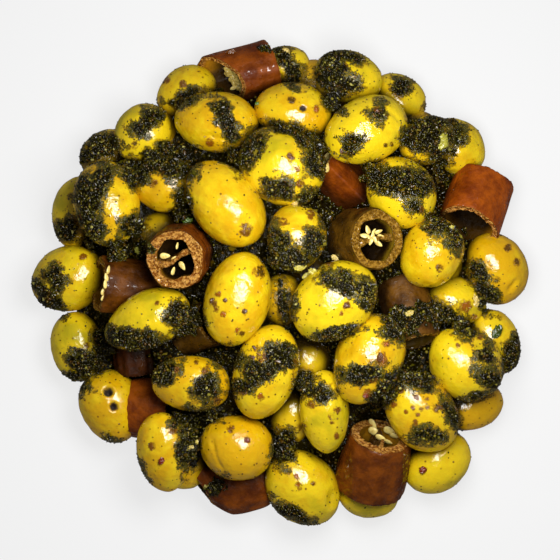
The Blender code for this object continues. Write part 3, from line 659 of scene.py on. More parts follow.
class Finish(Tree):
    """A material whose shader's varying inputs are built from values."""

    def __init__(self, name, **constants):
        self.material = bpy.data.materials.new(name)
        self.material.use_nodes = True
        super().__init__(self.material.node_tree)
        self.shader = self.tree.nodes["Principled BSDF"]
        for key, value in constants.items():
            self.shader.inputs[key.replace("_", " ")].default_value = value
        self.place = self.node("ShaderNodeTexCoord", output="Object")

    def feed(self, **values):
        for key, value in values.items():
            self.tree.links.new(value.socket, self.shader.inputs[key.replace("_", " ")])

    def attribute(self, name):
        return self.node("ShaderNodeAttribute", {"attribute_name": name}, output="Fac")

    def noise(self, size, detail, roughness):
        """Cloudy values between 0 and 1 whose patches are about size metres across."""
        inputs = {"Vector": self.place, "Scale": 1 / size, "Detail": detail, "Roughness": roughness}
        return self.node("ShaderNodeTexNoise", None, inputs)

    def cells(self, size, output):
        """The distance to the nearest of scattered points, or a colour for each."""
        return self.node("ShaderNodeTexVoronoi", None, {"Vector": self.place, "Scale": 1 / size}, output)

    def step(self, value, low, high):
        """0 below low and 1 above high, with a smooth rise between."""
        settings = {"interpolation_type": "SMOOTHSTEP"}
        inputs = {"Value": value, "From Min": low, "From Max": high, "To Min": 0.0, "To Max": 1.0}
        return self.node("ShaderNodeMapRange", settings, inputs)

    def blend(self, share, first, second):
        """The first colour where share is 0 and the second where it is 1."""
        first = (*first, 1) if isinstance(first, tuple) else first
        second = (*second, 1) if isinstance(second, tuple) else second
        return self.node("ShaderNodeMix", {"data_type": "RGBA"}, {0: share, 6: first, 7: second}, 2)

    def scale(self, share, stops):
        """Colours read off a scale, where each stop is its place and its colour."""
        colour = self.node("ShaderNodeValToRGB", None, {"Fac": share}, "Color")
        ramp = colour.socket.node.color_ramp
        while len(ramp.elements) < len(stops):
            ramp.elements.new(0.5)
        for element, (place, tone) in zip(ramp.elements, stops):
            element.position = place
            element.color = (*tone, 1)
        return colour

    def bump(self, height, distance):
        """The surface's direction where height, from 0 to 1, rises by distance metres."""
        return self.node("ShaderNodeBump", None, {"Height": height, "Distance": distance, "Strength": 1.0})


print("shader arithmetic ready")

# %% [markdown]
# ## The skin of a green olive
# A pickled green olive is yellow-green and waxy, with patches of gold, and here it is wet with
# oil. Brown freckles break up that skin, and so do brown and orange spots and a thin brown film of
# herb and oil round each clot. Painted shade turns its low sides a darker gold, and nearly black
# deep between its neighbours and inside pit holes. All but the freckles belong to places in the
# heap and not to a pattern, so they come in as numbers stored on the mesh.

# %% Olive skin
YELLOW = (0.73, 0.52, 0.008)
GOLD = (0.62, 0.345, 0.003)
LEAF = (0.36, 0.30, 0.005)
DEEP_SHADE = (0.030, 0.016, 0.001)
AMBER = (0.26, 0.105, 0.003)
FILM = (0.020, 0.020, 0.0012)
FRECKLE = (0.055, 0.020, 0.002)
SMEAR = (0.120, 0.095, 0.004)
THIN_FILM = (0.085, 0.075, 0.004)
RUST = (0.36, 0.085, 0.002)
SHADED_LOW_GOLD = (0.600, 0.330, 0.003)
PIT_SHADE = (0.012, 0.004, 0.0005)

GLOW = {"Subsurface_Weight": 0.10, "Subsurface_Scale": 0.002, "Subsurface_Radius": (1.0, 0.6, 0.12)}
skin = Finish("olive_skin", IOR=1.5, Specular_IOR_Level=0.65, **GLOW)
tint = skin.attribute("tint")
cloudy = skin.noise(6 * MM, 3, 0.6)
colour = skin.blend(skin.step(cloudy + tint * 0.35, 0.40, 0.78), YELLOW, GOLD)
green = skin.step(skin.noise(9 * MM, 2, 0.5) - tint * 0.22, 0.58, 0.82)
colour = skin.blend(green * 0.75, colour, LEAF)
mottle = skin.noise(1.6 * MM, 4, 0.65)
colour = skin.blend(skin.step(mottle, 0.58, 0.76) * 0.40, colour, GOLD)
film = skin.attribute("film")
edge = skin.noise(1.1 * MM, 4, 0.75)
grains = skin.noise(0.55 * MM, 2, 0.6)
patches = skin.noise(2.6 * MM, 3, 0.6)
near = 0.40 + 0.60 * skin.step(film, 0.0, 0.30)
stained = skin.step(film + (patches - 0.5) * 2.4 * near, 0.28, 0.62)
colour = skin.blend(stained * 0.62, colour, AMBER)
smeared = skin.step(film + ((patches - 0.5) * 2.0 + (grains - 0.5) * 1.6) * near, 0.50, 0.66)
colour = skin.blend(smeared * 0.72, colour, SMEAR)
filmed = skin.step(film + ((edge - 0.5) * 2.6 + (grains - 0.5) * 1.2) * near, 0.70, 0.84)
grainy_film = skin.blend(skin.step(grains, 0.44, 0.62), FILM, THIN_FILM)
colour = skin.blend(filmed * 0.95, colour, grainy_film)
spots = skin.cells(2.2 * MM, "Distance")
chosen = skin.step(skin.cells(2.2 * MM, "Color"), 0.48, 0.52)
halo = (1 - skin.step(spots, 0.10, 0.26)) * chosen
colour = skin.blend(halo * 0.55, colour, AMBER)
freckles = (1 - skin.step(spots, 0.07, 0.13)) * chosen
colour = skin.blend(freckles * 0.95, colour, FRECKLE)
ragged = skin.noise(1.5 * MM, 4, 0.7)
marked = skin.attribute("mark") * (1 + (ragged - 0.5) * 4.4)
colour = skin.blend(skin.step(marked, 0.25, 0.60) * 0.75, colour, AMBER)
mark = skin.step(marked, 0.62, 0.84)
colour = skin.blend(mark * 0.85, colour, skin.blend(skin.attribute("orange"), FILM, RUST))
depth = skin.attribute("depth")
# Painted shade: where the skin lies below the level of the heap round it, it turns a darker gold.
low_side_shade = skin.step(depth + (patches - 0.5) * 0.5, 0.02, 0.50)
colour = skin.blend(low_side_shade * 0.30, colour, SHADED_LOW_GOLD)
# Painted shade: deep between its neighbours the skin turns nearly black.
colour = skin.blend(skin.step(depth + (cloudy - 0.5) * 0.25, 0.36, 1.00), colour, DEEP_SHADE)
# Painted shade: inside a pit hole the skin turns nearly black.
hollow = skin.attribute("hollow")
colour = skin.blend(hollow * 0.9, colour, PIT_SHADE)
ripples = skin.noise(2.6 * MM, 1, 0.5)
peel = skin.noise(1.1 * MM, 3, 0.5)
height = ripples * 0.9 + peel * 0.75 + freckles * 0.3 + (filmed * grains + mark * edge) * 1.5
skin.feed(
    Base_Color=colour,
    Roughness=0.09 + 0.06 * grains + 0.12 * filmed + 0.60 * hollow,
    Normal=skin.bump(height, 0.22 * MM),
)
print("olive skin has", len(skin.tree.nodes), "nodes")

# %% [markdown]
# ## The olives
# An olive is an oval that is a little fuller at one end. A sphere with poles would pinch there, so
# a finely divided cube is blown up into a ball and then stretched, which keeps all its faces about
# the same size. Waves make it uneven, and listed dents, pit holes and creases go where the
# photograph shows them.

# %% A ball without poles


def ball(cuts):
    """Points and faces of a unit ball made from a divided cube."""
    bm = bmesh.new()
    bmesh.ops.create_cube(bm, size=2)
    bmesh.ops.subdivide_edges(bm, edges=bm.edges[:], cuts=cuts, use_grid_fill=True)
    bmesh.ops.recalc_face_normals(bm, faces=bm.faces[:])
    points = np.tan(np.array([point.co for point in bm.verts]) * math.pi / 4)
    faces = np.array([[point.index for point in face.verts] for face in bm.faces])
    bm.free()
    return points / np.linalg.norm(points, axis=1)[:, None], faces


FINE_BALL = ball(26)
PLAIN_BALL = ball(12)
SMALL_BALL = ball(3)
print(len(FINE_BALL[1]), "faces on an olive that shows")

# %% Where the herb lies
OUTLINE_WANDER = 0.9 * MM
OUTLINE_FRAY = 0.5 * MM
FILM_REACH = 3.3 * MM

flat_points = np.stack((grid_x.ravel(), grid_y.ravel()), 1)
wander = waves(flat_points / MM, 5, 10, 3.0, 8.0).reshape(grid_x.shape)
fray = waves(flat_points / MM, 7, 16, 1.2, 2.8).reshape(grid_x.shape)
inside_clot = np.full(grid_x.shape, -20 * MM)
clot_thick = np.zeros(grid_x.shape)
for px, py, long_half, wide_half, turn, thick in CLOTS:
    middle_x, middle_y = on_plan(px, py)
    turned = math.radians(turn)
    along = (grid_x - middle_x) * math.cos(turned) + (grid_y - middle_y) * math.sin(turned)
    across = (grid_y - middle_y) * math.cos(turned) - (grid_x - middle_x) * math.sin(turned)
    away = np.hypot(along / (long_half * PIXEL), across / (wide_half * PIXEL))
    inside = (1 - away) * math.sqrt(long_half * wide_half) * PIXEL
    clot_thick = np.where(inside > inside_clot, thick * MM, clot_thick)
    inside_clot = np.maximum(inside_clot, inside)
outline = inside_clot + OUTLINE_WANDER * wander + OUTLINE_FRAY * fray
clot_thick = blurred(clot_thick, 0.8 * MM)


def film_at(points):
    """How much herb film lies on these points: 1 under a clot, falling to 0 a little way outside it."""
    x, y, z = points.T
    near_top = smooth_step(6 * MM, 2.5 * MM, read(surface, x, y) - z)
    return smooth_step(-FILM_REACH, 0.2 * MM, read(outline, x, y)) * near_top


def depth_at(points):
    """How deep these points lie below the level of the heap round them, from 0 to 1, which sets their
    painted shade.
    """
    x, y, z = points.T
    return np.clip((read(level_round, x, y) - z + 1.0 * MM) / (9 * MM), 0, 1)


print("clots cover", round((outline > 0).sum() * (CELL / MM) ** 2), "square mm of the plan")

# %% Dents, pit holes and creases
# Olive, photo x, photo y, radius and depth in mm. A pit hole is deeper than it is wide.
DENTS = (
    ("pitted", 108, 391, 1.6, 3.4),
    ("pitted", 114, 407, 1.3, 3.0),
    ("north_smooth", 303, 109, 1.0, 1.2),
    ("south_tip", 283, 455, 2.4, 1.0),
    ("south_tip", 335, 500, 3.4, 1.0),
    ("north_coated", 262, 178, 3.0, 0.5),
    ("centre_large", 352, 318, 4.0, 0.5),
    ("under_west_clot", 151, 186, 2.2, 0.7),
    ("north_split", 213, 137, 2.0, 0.5),
    ("middle_slanting", 248, 222, 2.6, 0.5),
    ("south_long", 279, 393, 3.0, 0.45),
    ("south_east_bright", 344, 352, 3.2, 0.5),
    ("east_banded", 419, 188, 2.2, 0.6),
    ("centre_coated", 302, 222, 2.4, 0.5),
)

# Olive, its two ends on the photograph, half width and depth in mm.
CREASES = (
    ("east_tip", 511, 291, 517, 283, 0.9, 1.3),
    ("north_split", 202, 136, 226, 142, 0.7, 0.5),
    ("south_round", 212, 440, 222, 470, 0.7, 0.5),
    ("north_east_large", 380, 106, 402, 122, 0.8, 0.4),
    ("south_east_speckled", 438, 440, 450, 425, 0.6, 0.4),
)


def lifted(px, py, points):
    """The point of the skin that shows at a pixel of the photograph."""
    x, y = on_plan(px, py)
    near = np.hypot(points[:, 0] - x, points[:, 1] - y) < 1.2 * MM
    height = points[near, 2].max() if near.any() else points[:, 2].max()
    return np.array((x, y, height))


PIT_DEEPER_THAN = 1.1


def press_in(piece, points):
    """Presses in the piece's dents and creases, and says how far inside a pit hole each point is."""
    inward = piece.middle - points
    inward /= np.linalg.norm(inward, axis=1)[:, None]
    push = np.zeros(len(points))
    dark = np.zeros(len(points))
    for name, px, py, radius, deep in DENTS:
        if name == piece.name:
            away = np.linalg.norm(points - lifted(px, py, points), axis=1) / (radius * MM)
            bowl = np.clip(1 - (away / 1.25) ** 2, 0, 1) ** 2
            rim = np.exp(-(((away - 1.3) / 0.3) ** 2))
            push += deep * MM * (bowl - 0.06 * rim)
            if deep > PIT_DEEPER_THAN:
                dark = np.maximum(dark, smooth_step(1.15, 0.75, away))
    for name, ax, ay, bx, by, half_width, deep in CREASES:
        if name == piece.name:
            start, end = lifted(ax, ay, points), lifted(bx, by, points)
            span = end - start
            share = np.clip((points - start) @ span / (span @ span), 0, 1)
            away = np.linalg.norm(points - start - share[:, None] * span, axis=1) / (half_width * MM)
            push += deep * MM * np.exp(-(away**2))
    return points + inward * push[:, None], dark


# %% Marks on the olives
# Photo x, photo y, radius in pixels, and how orange the mark is, from 0, dark brown, to 1.
MARKS = (
    (261, 396, 5, 0.9), (247, 439, 4, 0.45), (231, 428, 5, 0.35), (346, 305, 5, 0.3),
    (341, 313, 3, 0.8), (290, 158, 6, 0.35), (297, 170, 4, 0.7), (300, 185, 5, 0.4),
    (367, 390, 4, 0.6), (155, 184, 5, 0.35), (135, 145, 5, 0.1), (385, 146, 3, 0.1),
    (391, 145, 3, 0.1), (377, 113, 6, 0.2), (438, 269, 5, 0.2), (450, 259, 3, 0.1), (385, 343, 5, 0.9),
    (427, 433, 7, 0.25), (260, 272, 8, 0.1), (246, 230, 8, 0.3), (466, 306, 8, 0.75),
    (474, 317, 4, 0.9), (297, 476, 4, 1.0), (299, 486, 5, 1.0), (313, 483, 3, 0.5),
    (415, 397, 4, 0.35), (426, 398, 3, 0.35), (437, 407, 6, 0.25), (427, 407, 3, 0.45),
    (420, 409, 3, 0.55), (412, 407, 3, 0.55), (405, 411, 3, 0.65), (414, 422, 4, 0.5),
    (400, 390, 4, 0.4), (417, 414, 3, 0.6), (393, 404, 4, 0.6), (331, 416, 4, 0.4),
    (337, 409, 5, 0.35), (332, 422, 3, 0.3), (336, 435, 4, 0.5), (311, 404, 5, 0.5),
    (302, 427, 6, 0.1), (381, 358, 8, 0.75), (365, 394, 4, 1.0), (370, 395, 3, 0.2),
    (257, 348, 4, 0.3), (295, 362, 5, 0.2), (83, 257, 5, 0.5), (95, 250, 4, 0.4), (214, 302, 5, 0.3),
    (226, 300, 3, 0.3), (245, 312, 4, 0.8), (219, 294, 4, 0.9), (224, 314, 4, 1.0),
    (238, 330, 4, 0.95), (242, 333, 4, 0.15), (217, 310, 4, 0.4), (197, 362, 3, 0.3),
    (205, 369, 5, 0.5), (176, 368, 5, 0.4), (210, 143, 5, 0.7), (166, 79, 5, 0.5), (183, 84, 5, 0.35),
    (372, 377, 6, 0.3), (303, 109, 4, 0.6), (291, 101, 5, 0.1), (316, 110, 5, 0.85),
    (243, 391, 5, 0.3), (262, 357, 6, 0.3), (218, 400, 5, 0.3), (420, 210, 4, 0.2), (329, 262, 6, 0.4),
    (310, 215, 6, 0.45), (283, 222, 5, 0.5), (344, 330, 4, 0.3), (125, 300, 4, 0.5),
    (158, 303, 3, 0.3), (87, 345, 4, 0.2), (60, 262, 3, 0.2), (152, 446, 5, 0.4), (173, 430, 5, 0.3),
    (457, 345, 3, 0.5), (480, 337, 4, 0.3), (508, 248, 5, 0.2), (517, 262, 5, 0.2), (343, 68, 5, 0.2),
    (398, 95, 5, 0.4), (452, 118, 4, 0.3),
)


def marks_on(points):
    """How marked each point is, and how orange its mark, where it faces up."""
    x, y, z = points.T
    mark, orange = np.zeros(len(points)), np.zeros(len(points))
    on_top = smooth_step(4 * MM, 2 * MM, read(surface, x, y) - z)
    for px, py, radius, hue in MARKS:
        middle_x, middle_y = on_plan(px, py)
        away = np.hypot(x - middle_x, y - middle_y) / (radius * PIXEL)
        here = smooth_step(1.45, 0.1, away) * on_top
        orange = np.where(here > mark, hue, orange)
        mark = np.maximum(mark, here)
    return mark, orange


# %% Build the olives
EGG = 0.05
UNEVEN = 0.022
RIPPLE = 0.045 * MM
PIT_ORANGE = 0.08
# How golden an olive is, above 0, or how green, below 0, where chance doesn't settle it.
TINTS = {
    "south_east_tawny": 1.6,
    "east_tip": 0.8,
    "west_rim_lower": -0.6,
    "south_round": 0.8,
    "south_tip": -0.2,
    "pitted": 0.5,
    "north_west_top": -0.5,
    "under_west_clot": 0.5,
    "centre_coated": 0.2,
    "under_south_chilli": -0.6,
    "middle_slanting": 0.4,
    "north_coated_rim": -0.7,
    "north_east_rim": -0.5,
}


def olive_skin(piece, shape):
    """Points, faces and stored numbers of one olive."""
    unit, faces = shape
    seed = own_seed(piece.name)
    swell = 1 + UNEVEN * waves(unit, seed, 5, 0.9, 2.6)
    wide = piece.half_width * (1 + EGG * unit[:, 2]) * swell
    points = np.stack((unit[:, 0] * wide, unit[:, 1] * wide, unit[:, 2] * piece.half_length * swell), 1)
    points += unit * (RIPPLE * waves(points / MM, seed + 1, 14, 2.2, 4.5))[:, None]
    points = points @ piece.turn().T + piece.middle
    points, dark = press_in(piece, points)
    mark, orange = marks_on(points)
    # A pit hole also gets a dark brown mark, which is painted shade inside it.
    orange = np.where(dark > mark, PIT_ORANGE, orange)
    mark = np.maximum(mark, dark)
    numbers = {
        "hollow": dark,
        "mark": mark,
        "orange": orange,
        "tint": TINTS.get(piece.name, random.Random(piece.name).uniform(-0.5, 0.5)),
        "film": film_at(points),
        # How deep the point lies, for the painted shade in gaps and in pit holes.
        "depth": np.maximum(depth_at(points), dark),
    }
    return points, faces, numbers


QUARTERS = ("north_east", "north_west", "south_west", "south_east")


def quarter(piece):
    """Which quarter of the heap a piece lies in."""
    return QUARTERS[int(math.atan2(piece.middle[1], piece.middle[0]) % math.tau / (math.pi / 2))]


olive_batches = {name: Batch() for name in QUARTERS}
for piece in olives:
    points, faces, numbers = olive_skin(piece, FINE_BALL)
    olive_batches[quarter(piece)].add(points, faces, **numbers)
low_batch = Batch()
for piece in fillers:
    points, faces, numbers = olive_skin(piece, PLAIN_BALL)
    low_batch.add(points, faces, **numbers)
olive_objects = [batch.build("olives_" + name) for name, batch in olive_batches.items()]
olive_objects.append(low_batch.build("olives_of_the_lower_layers"))
for obj in olive_objects:
    obj.data.materials.append(skin.material)
print([(obj.name, len(obj.data.polygons)) for obj in olive_objects])

# %% [markdown]
# ## Chopped herb
# The herb is a wet paste of leaf bits about a millimetre across, nearly black with small green and
# white glints. Under the bits lies solid paste, so it is made in two steps: a lumpy layer that
# drapes over the olives and bridges the gaps between them, and thousands of bits scattered on it.

# %% Herb colours
DARK_PASTE = (0.0030, 0.0021, 0.0002)
GREEN_PASTE = (0.0150, 0.0110, 0.0005)
BROWN_PASTE = (0.024, 0.013, 0.0008)
# The stops from 0.985 up make a few bits pale: painted glints among the dark ones.
BIT_COLOURS_AND_GLINTS = (
    (0.00, (0.0036, 0.0024, 0.0002)),
    (0.35, (0.0140, 0.0112, 0.0004)),
    (0.60, (0.0330, 0.0270, 0.0009)),
    (0.76, (0.0580, 0.0520, 0.0015)),
    (0.86, (0.0620, 0.0250, 0.0010)),
    (0.95, (0.1400, 0.0980, 0.0035)),
    (0.985, (0.2200, 0.1900, 0.0200)),
    (1.00, (0.4500, 0.4000, 0.1200)),
)

paste = Finish("herb_paste", IOR=1.5, Specular_IOR_Level=0.18)
grain = paste.noise(0.9 * MM, 4, 0.7)
blotch = paste.noise(4 * MM, 2, 0.5)
colour = paste.blend(paste.step(grain, 0.45, 0.70), DARK_PASTE, GREEN_PASTE)
colour = paste.blend(paste.step(blotch, 0.55, 0.75) * 0.7, colour, BROWN_PASTE)
paste.feed(Base_Color=colour, Roughness=0.10 + 0.14 * grain, Normal=paste.bump(grain, 0.30 * MM))

bits = Finish("herb_bits", IOR=1.5, Specular_IOR_Level=0.42)
colour = bits.scale(bits.attribute("tint"), BIT_COLOURS_AND_GLINTS)
veins = bits.noise(0.4 * MM, 2, 0.6)
bits.feed(Base_Color=colour, Roughness=0.10 + 0.10 * veins, Normal=bits.bump(veins, 0.05 * MM))
print("herb finishes ready")

# %% The paste under the bits
PASTE_SUNK = 0.25 * MM
PASTE_UNDER = 1.2 * MM
PASTE_GRAIN = 0.30 * MM
STEEPEST = 3.5
LOWEST_PASTE = 3 * MM


def parted(cells):
    """The cells without those that touch another only at a corner, where the layer would be pinched."""
    cells = cells.copy()
    while True:
        a, b = cells[:-1, :-1].copy(), cells[1:, :-1].copy()
        c, d = cells[:-1, 1:].copy(), cells[1:, 1:].copy()
        falling, rising = a & d & ~b & ~c, b & c & ~a & ~d
        if not (falling | rising).any():
            return cells
        cells[1:, 1:] &= ~falling
        cells[1:, :-1] &= ~rising


lumps = waves(flat_points / MM, 6, 12, 2.2, 5.5).reshape(grid_x.shape)
crown = np.sqrt(smooth_step(-0.2 * MM, 1.8 * MM, outline))
thickness = clot_thick * (0.12 + 0.88 * crown) * (0.76 + 0.22 * lumps)
grainy = np.random.default_rng(8).uniform(-1, 1, grid_x.shape)
paste_top = bridged + thickness - PASTE_SUNK + PASTE_GRAIN * grainy
rise = np.hypot(*np.gradient(bridged, CELL))
held = (outline > 0) & (rise < STEEPEST) & (surface > LOWEST_PASTE)
cells = parted(held[:-1, :-1] & held[1:, :-1] & held[:-1, 1:] & held[1:, 1:])
print("paste covers", round(cells.sum() * (CELL / MM) ** 2), "square mm of the plan")


def slab(name, cells, top, bottom, attributes):
    """A closed layer between two heights over the chosen cells of the grid."""
    corner = np.zeros(top.shape, bool)
    for i in (0, 1):
        for j in (0, 1):
            corner[i : cells.shape[0] + i, j : cells.shape[1] + j] |= cells
    index = np.full(top.shape, -1)
    index[corner] = np.arange(corner.sum())
    count = int(corner.sum())
    layers = [np.stack((grid_x[corner], grid_y[corner], level[corner]), 1) for level in (top, bottom)]
    i, j = np.nonzero(cells)
    a, b, c, d = index[i, j], index[i + 1, j], index[i + 1, j + 1], index[i, j + 1]
    faces = [np.stack((a, b, c, d), 1), np.stack((d, c, b, a), 1) + count]
    padded = np.pad(cells, 1)
    for di, dj, first, second in ((0, -1, a, b), (1, 0, b, c), (0, 1, c, d), (-1, 0, d, a)):
        open_side = ~padded[i + 1 + di, j + 1 + dj]
        start, end = first[open_side], second[open_side]
        faces.append(np.stack((start, start + count, end + count, end), 1))
    numbers = {}
    for key, field in attributes.items():
        numbers[key] = np.concatenate((field[corner], 0 * field[corner]))
    return mesh_object(name, np.concatenate(layers), np.concatenate(faces), numbers, smooth=False)


def halves(x):
    """How many bits go to the west and to the east half, which are scattered one after the other."""
    west = (x < 0) * 1.0
    return {"west": west, "east": 1 - west}


paste_bottom = np.minimum(bridged - PASTE_UNDER, surface - 0.3 * MM)
paste_bottom = np.maximum(paste_bottom, 0.5 * MM)
herb_paste = slab("herb_paste", cells, paste_top, paste_bottom, halves(grid_x))
herb_paste.data.materials.append(paste.material)
print("paste has", len(herb_paste.data.polygons), "faces")

# %% [markdown]
# ## Bits of leaf
# Each bit is a scrap of leaf or stalk, crumpled and stuck down at random. A few shapes, each of a
# few dozen faces, are enough when every copy is turned and sized differently. Geometry Nodes
# scatter them: points on the faces, one scrap on each point, and then all of it made real.

# %% The shapes of the bits


def crumb(name, chance, size, flat):
    """An angular grain: a small ball pulled out of shape."""
    bm = bmesh.new()
    bmesh.ops.create_icosphere(bm, subdivisions=1, radius=1)
    for point in bm.verts:
        point.co *= chance.uniform(0.6, 1.25)
        point.co.z *= flat
    points = np.array([point.co for point in bm.verts]) * size / 2
    faces = [[point.index for point in face.verts] for face in bm.faces]
    bm.free()
    return mesh_object(name, points, faces)


def leaf(name, chance, length, width, thick):
    """A crumpled scrap of leaf, three faces long and two wide, with a back and a rim."""
    rows, columns = 4, 3
    bend, twist = chance.uniform(0.3, 1.1), chance.uniform(-0.8, 0.8)
    top = []
    for i in range(rows):
        for j in range(columns):
            u, v = i / (rows - 1) - 0.5, j / (columns - 1) - 0.5
            taper = 1 - abs(u) * chance.uniform(0.3, 1.1)
            z = bend * u * u * length + twist * u * v * length + chance.uniform(-0.12, 0.12) * length
            top.append((u * length, v * width * taper, z))
    top = np.array(top)
    points = np.concatenate((top, top - (0, 0, thick)))
    count = rows * columns
    faces, rim = [], []
    for i in range(rows - 1):
        for j in range(columns - 1):
            a = i * columns + j
            faces.append((a, a + columns, a + columns + 1, a + 1))
            faces.append((a + 1 + count, a + columns + 1 + count, a + columns + count, a + count))
    rim += list(range(columns))
    rim += [i * columns + columns - 1 for i in range(1, rows)]
    rim += [(rows - 1) * columns + j for j in range(columns - 2, -1, -1)]
    rim += [i * columns for i in range(rows - 2, 0, -1)]
    for start, end in zip(rim, rim[1:] + rim[:1]):
        faces.append((start, end, end + count, start + count))
    return mesh_object(name, points, faces, smooth=False)


def shape_collection(name, objects):
    """A collection that only the scatter reads, outside the scene."""
    collection = bpy.data.collections.new(name)
    for obj in objects:
        bpy.context.scene.collection.objects.unlink(obj)
        collection.objects.link(obj)
    return collection


chance = random.Random(21)
herb_shapes = shape_collection(
    "herb_shapes",
    [crumb(f"herb_grain_{i}", chance, 1.1 * MM, chance.uniform(0.6, 1.0)) for i in range(8)]
    + [leaf(f"herb_leaf_{i}", chance, 1.9 * MM, 1.1 * MM, 0.14 * MM) for i in range(2)],
)
fleck_shapes = shape_collection(
    "fleck_shapes", [crumb(f"fleck_{i}", chance, 0.62 * MM, chance.uniform(0.35, 0.8)) for i in range(4)]
)

# %% The scatter
SCATTER_INPUTS = {
    "Surface": "Geometry",
    "Shapes": "Collection",
    "Per square metre": "Float",
    "Apart": "Float",
    "Where": "String",
    "Smallest": "Float",
    "Largest": "Float",
    "Lift": "Float",
    "Seed": "Int",
    "Finish": "Material",
}


def scatter_tree():
    """Geometry nodes that put shapes, turned and sized at random, where an attribute says."""
    group = bpy.data.node_groups.new("scatter", "GeometryNodeTree")
    for name, kind in SCATTER_INPUTS.items():
        group.interface.new_socket(name, in_out="INPUT", socket_type="NodeSocket" + kind)
    group.interface.new_socket("Bits", in_out="OUTPUT", socket_type="NodeSocketGeometry")
    tree = Tree(group)
    source = group.nodes.new("NodeGroupInput")

    def given(name):
        return Value(tree, source.outputs[name])

    where = tree.node("GeometryNodeInputNamedAttribute", {"data_type": "FLOAT"}, {"Name": given("Where")})
    inputs = {
        "Mesh": given("Surface"),
        "Distance Min": given("Apart"),
        "Density Max": given("Per square metre"),
        "Density Factor": where,
        "Seed": given("Seed"),
    }
    points = tree.node("GeometryNodeDistributePointsOnFaces", {"distribute_method": "POISSON"}, inputs)
    normal = Value(tree, points.socket.node.outputs["Normal"])
    lift = tree.node("ShaderNodeVectorMath", {"operation": "SCALE"}, {0: normal, "Scale": given("Lift")})
    points = tree.node("GeometryNodeSetPosition", None, {"Geometry": points, "Offset": lift})
    turns = {0: (0, 0, 0), 1: (math.tau, math.tau, math.tau), "Seed": given("Seed") + 1}
    turn = tree.node("FunctionNodeRandomValue", {"data_type": "FLOAT_VECTOR"}, turns)
    turn = tree.node("FunctionNodeEulerToRotation", None, {0: turn})
    sizes = {2: given("Smallest"), 3: given("Largest"), "Seed": given("Seed") + 2}
    size = tree.node("FunctionNodeRandomValue", {"data_type": "FLOAT"}, sizes, 1)
    inputs = {"Collection": given("Shapes"), "Separate Children": True}
    shapes = tree.node("GeometryNodeCollectionInfo", None, inputs)
    inputs = {"Points": points, "Instance": shapes, "Pick Instance": True, "Rotation": turn, "Scale": size}
    placed = tree.node("GeometryNodeInstanceOnPoints", None, inputs)
    tints = {2: 0.0, 3: 1.0, "Seed": given("Seed") + 3}
    tint = tree.node("FunctionNodeRandomValue", {"data_type": "FLOAT"}, tints, 1)
    settings = {"data_type": "FLOAT", "domain": "INSTANCE"}
    inputs = {"Geometry": placed, "Name": "tint", "Value": tint}
    placed = tree.node("GeometryNodeStoreNamedAttribute", settings, inputs)
    real = tree.node("GeometryNodeRealizeInstances", None, {"Geometry": placed})
    real = tree.node("GeometryNodeSetMaterial", None, {"Geometry": real, "Material": given("Finish")})
    result = group.nodes.new("NodeGroupOutput")
    group.links.new(real.socket, result.inputs["Bits"])
    return group


SCATTER = scatter_tree()


def scattered(name, surface_mesh, **inputs):
    """A plain mesh object of the shapes scattered on a surface's mesh."""
    obj = bpy.data.objects.new(name, surface_mesh)
    bpy.context.scene.collection.objects.link(obj)
    modifier = obj.modifiers.new("scatter", "NODES")
    modifier.node_group = SCATTER
    sockets = {item.name: item.identifier for item in SCATTER.interface.items_tree if item.in_out == "INPUT"}
    for key, value in inputs.items():
        modifier[sockets[key.replace("_", " ")]] = value
    graph = bpy.context.evaluated_depsgraph_get()
    mesh = bpy.data.meshes.new_from_object(obj.evaluated_get(graph))
    obj.modifiers.clear()
    obj.data = mesh
    mesh.name = name
    print(name, len(mesh.polygons), "faces")
    return obj


def scattered_halves(name, surface_mesh, seed, **inputs):
    """Herb bits over the west half of a surface, and then over its east half."""
    inputs.update(Shapes=herb_shapes, Finish=bits.material)
    west = scattered(name + "_west", surface_mesh, Where="west", Seed=seed, **inputs)
    return west, scattered(name + "_east", surface_mesh, Where="east", Seed=seed + 10, **inputs)


on_paste = {"Per_square_metre": 4e6, "Apart": 0.55 * MM, "Smallest": 0.55, "Largest": 1.15}
herb_bits = scattered_halves("herb_bits", herb_paste.data, 3, Lift=0.12 * MM, **on_paste)

# %% [markdown]
# ## Flecks on the olives
# Away from the clots the olives are dotted with single flecks, many near a clot and few far off.
# The same scatter makes them, told where by the numbers stored on the olives.

# %% Scatter the flecks
FLECKS_EVERYWHERE = 0.05


def store_flecky(obj):
    """Stores how many flecks each point gets, as a share of the most."""
    mesh = obj.data
    film = np.zeros(len(mesh.vertices), np.float32)
    mesh.attributes["film"].data.foreach_get("value", film)
    points = np.zeros(len(mesh.vertices) * 3, np.float32)
    mesh.vertices.foreach_get("co", points)
    points = points.reshape(-1, 3)
    shows = smooth_step(9 * MM, 3 * MM, read(surface, points[:, 0], points[:, 1]) - points[:, 2])
    layer = mesh.attributes.new("flecky", "FLOAT", "POINT")
    layer.data.foreach_set("value", (film * 0.9 + FLECKS_EVERYWHERE) * shows)


herb_flecks = []
on_olives = {"Per_square_metre": 1.2e6, "Apart": 0.4 * MM, "Smallest": 0.4, "Largest": 1.2, "Lift": 0.0}
on_olives.update(Shapes=fleck_shapes, Where="flecky", Finish=bits.material)
for index, obj in enumerate(olive_objects[:4]):
    store_flecky(obj)
    name = obj.name.replace("olives", "flecks")
    herb_flecks.append(scattered(name, obj.data, Seed=40 + index, **on_olives))

# %% [markdown]
# ## The dark inside of the heap
# Between the olives one looks down into shade with hardly any light. A closed lump under the
# olives, with the dark finish of the herb paste, stops the view there: it is painted shade. It
# follows the heap a little below the olives' middles.

# %% The core
CORE_RINGS = 60
CORE_SIDES = 160

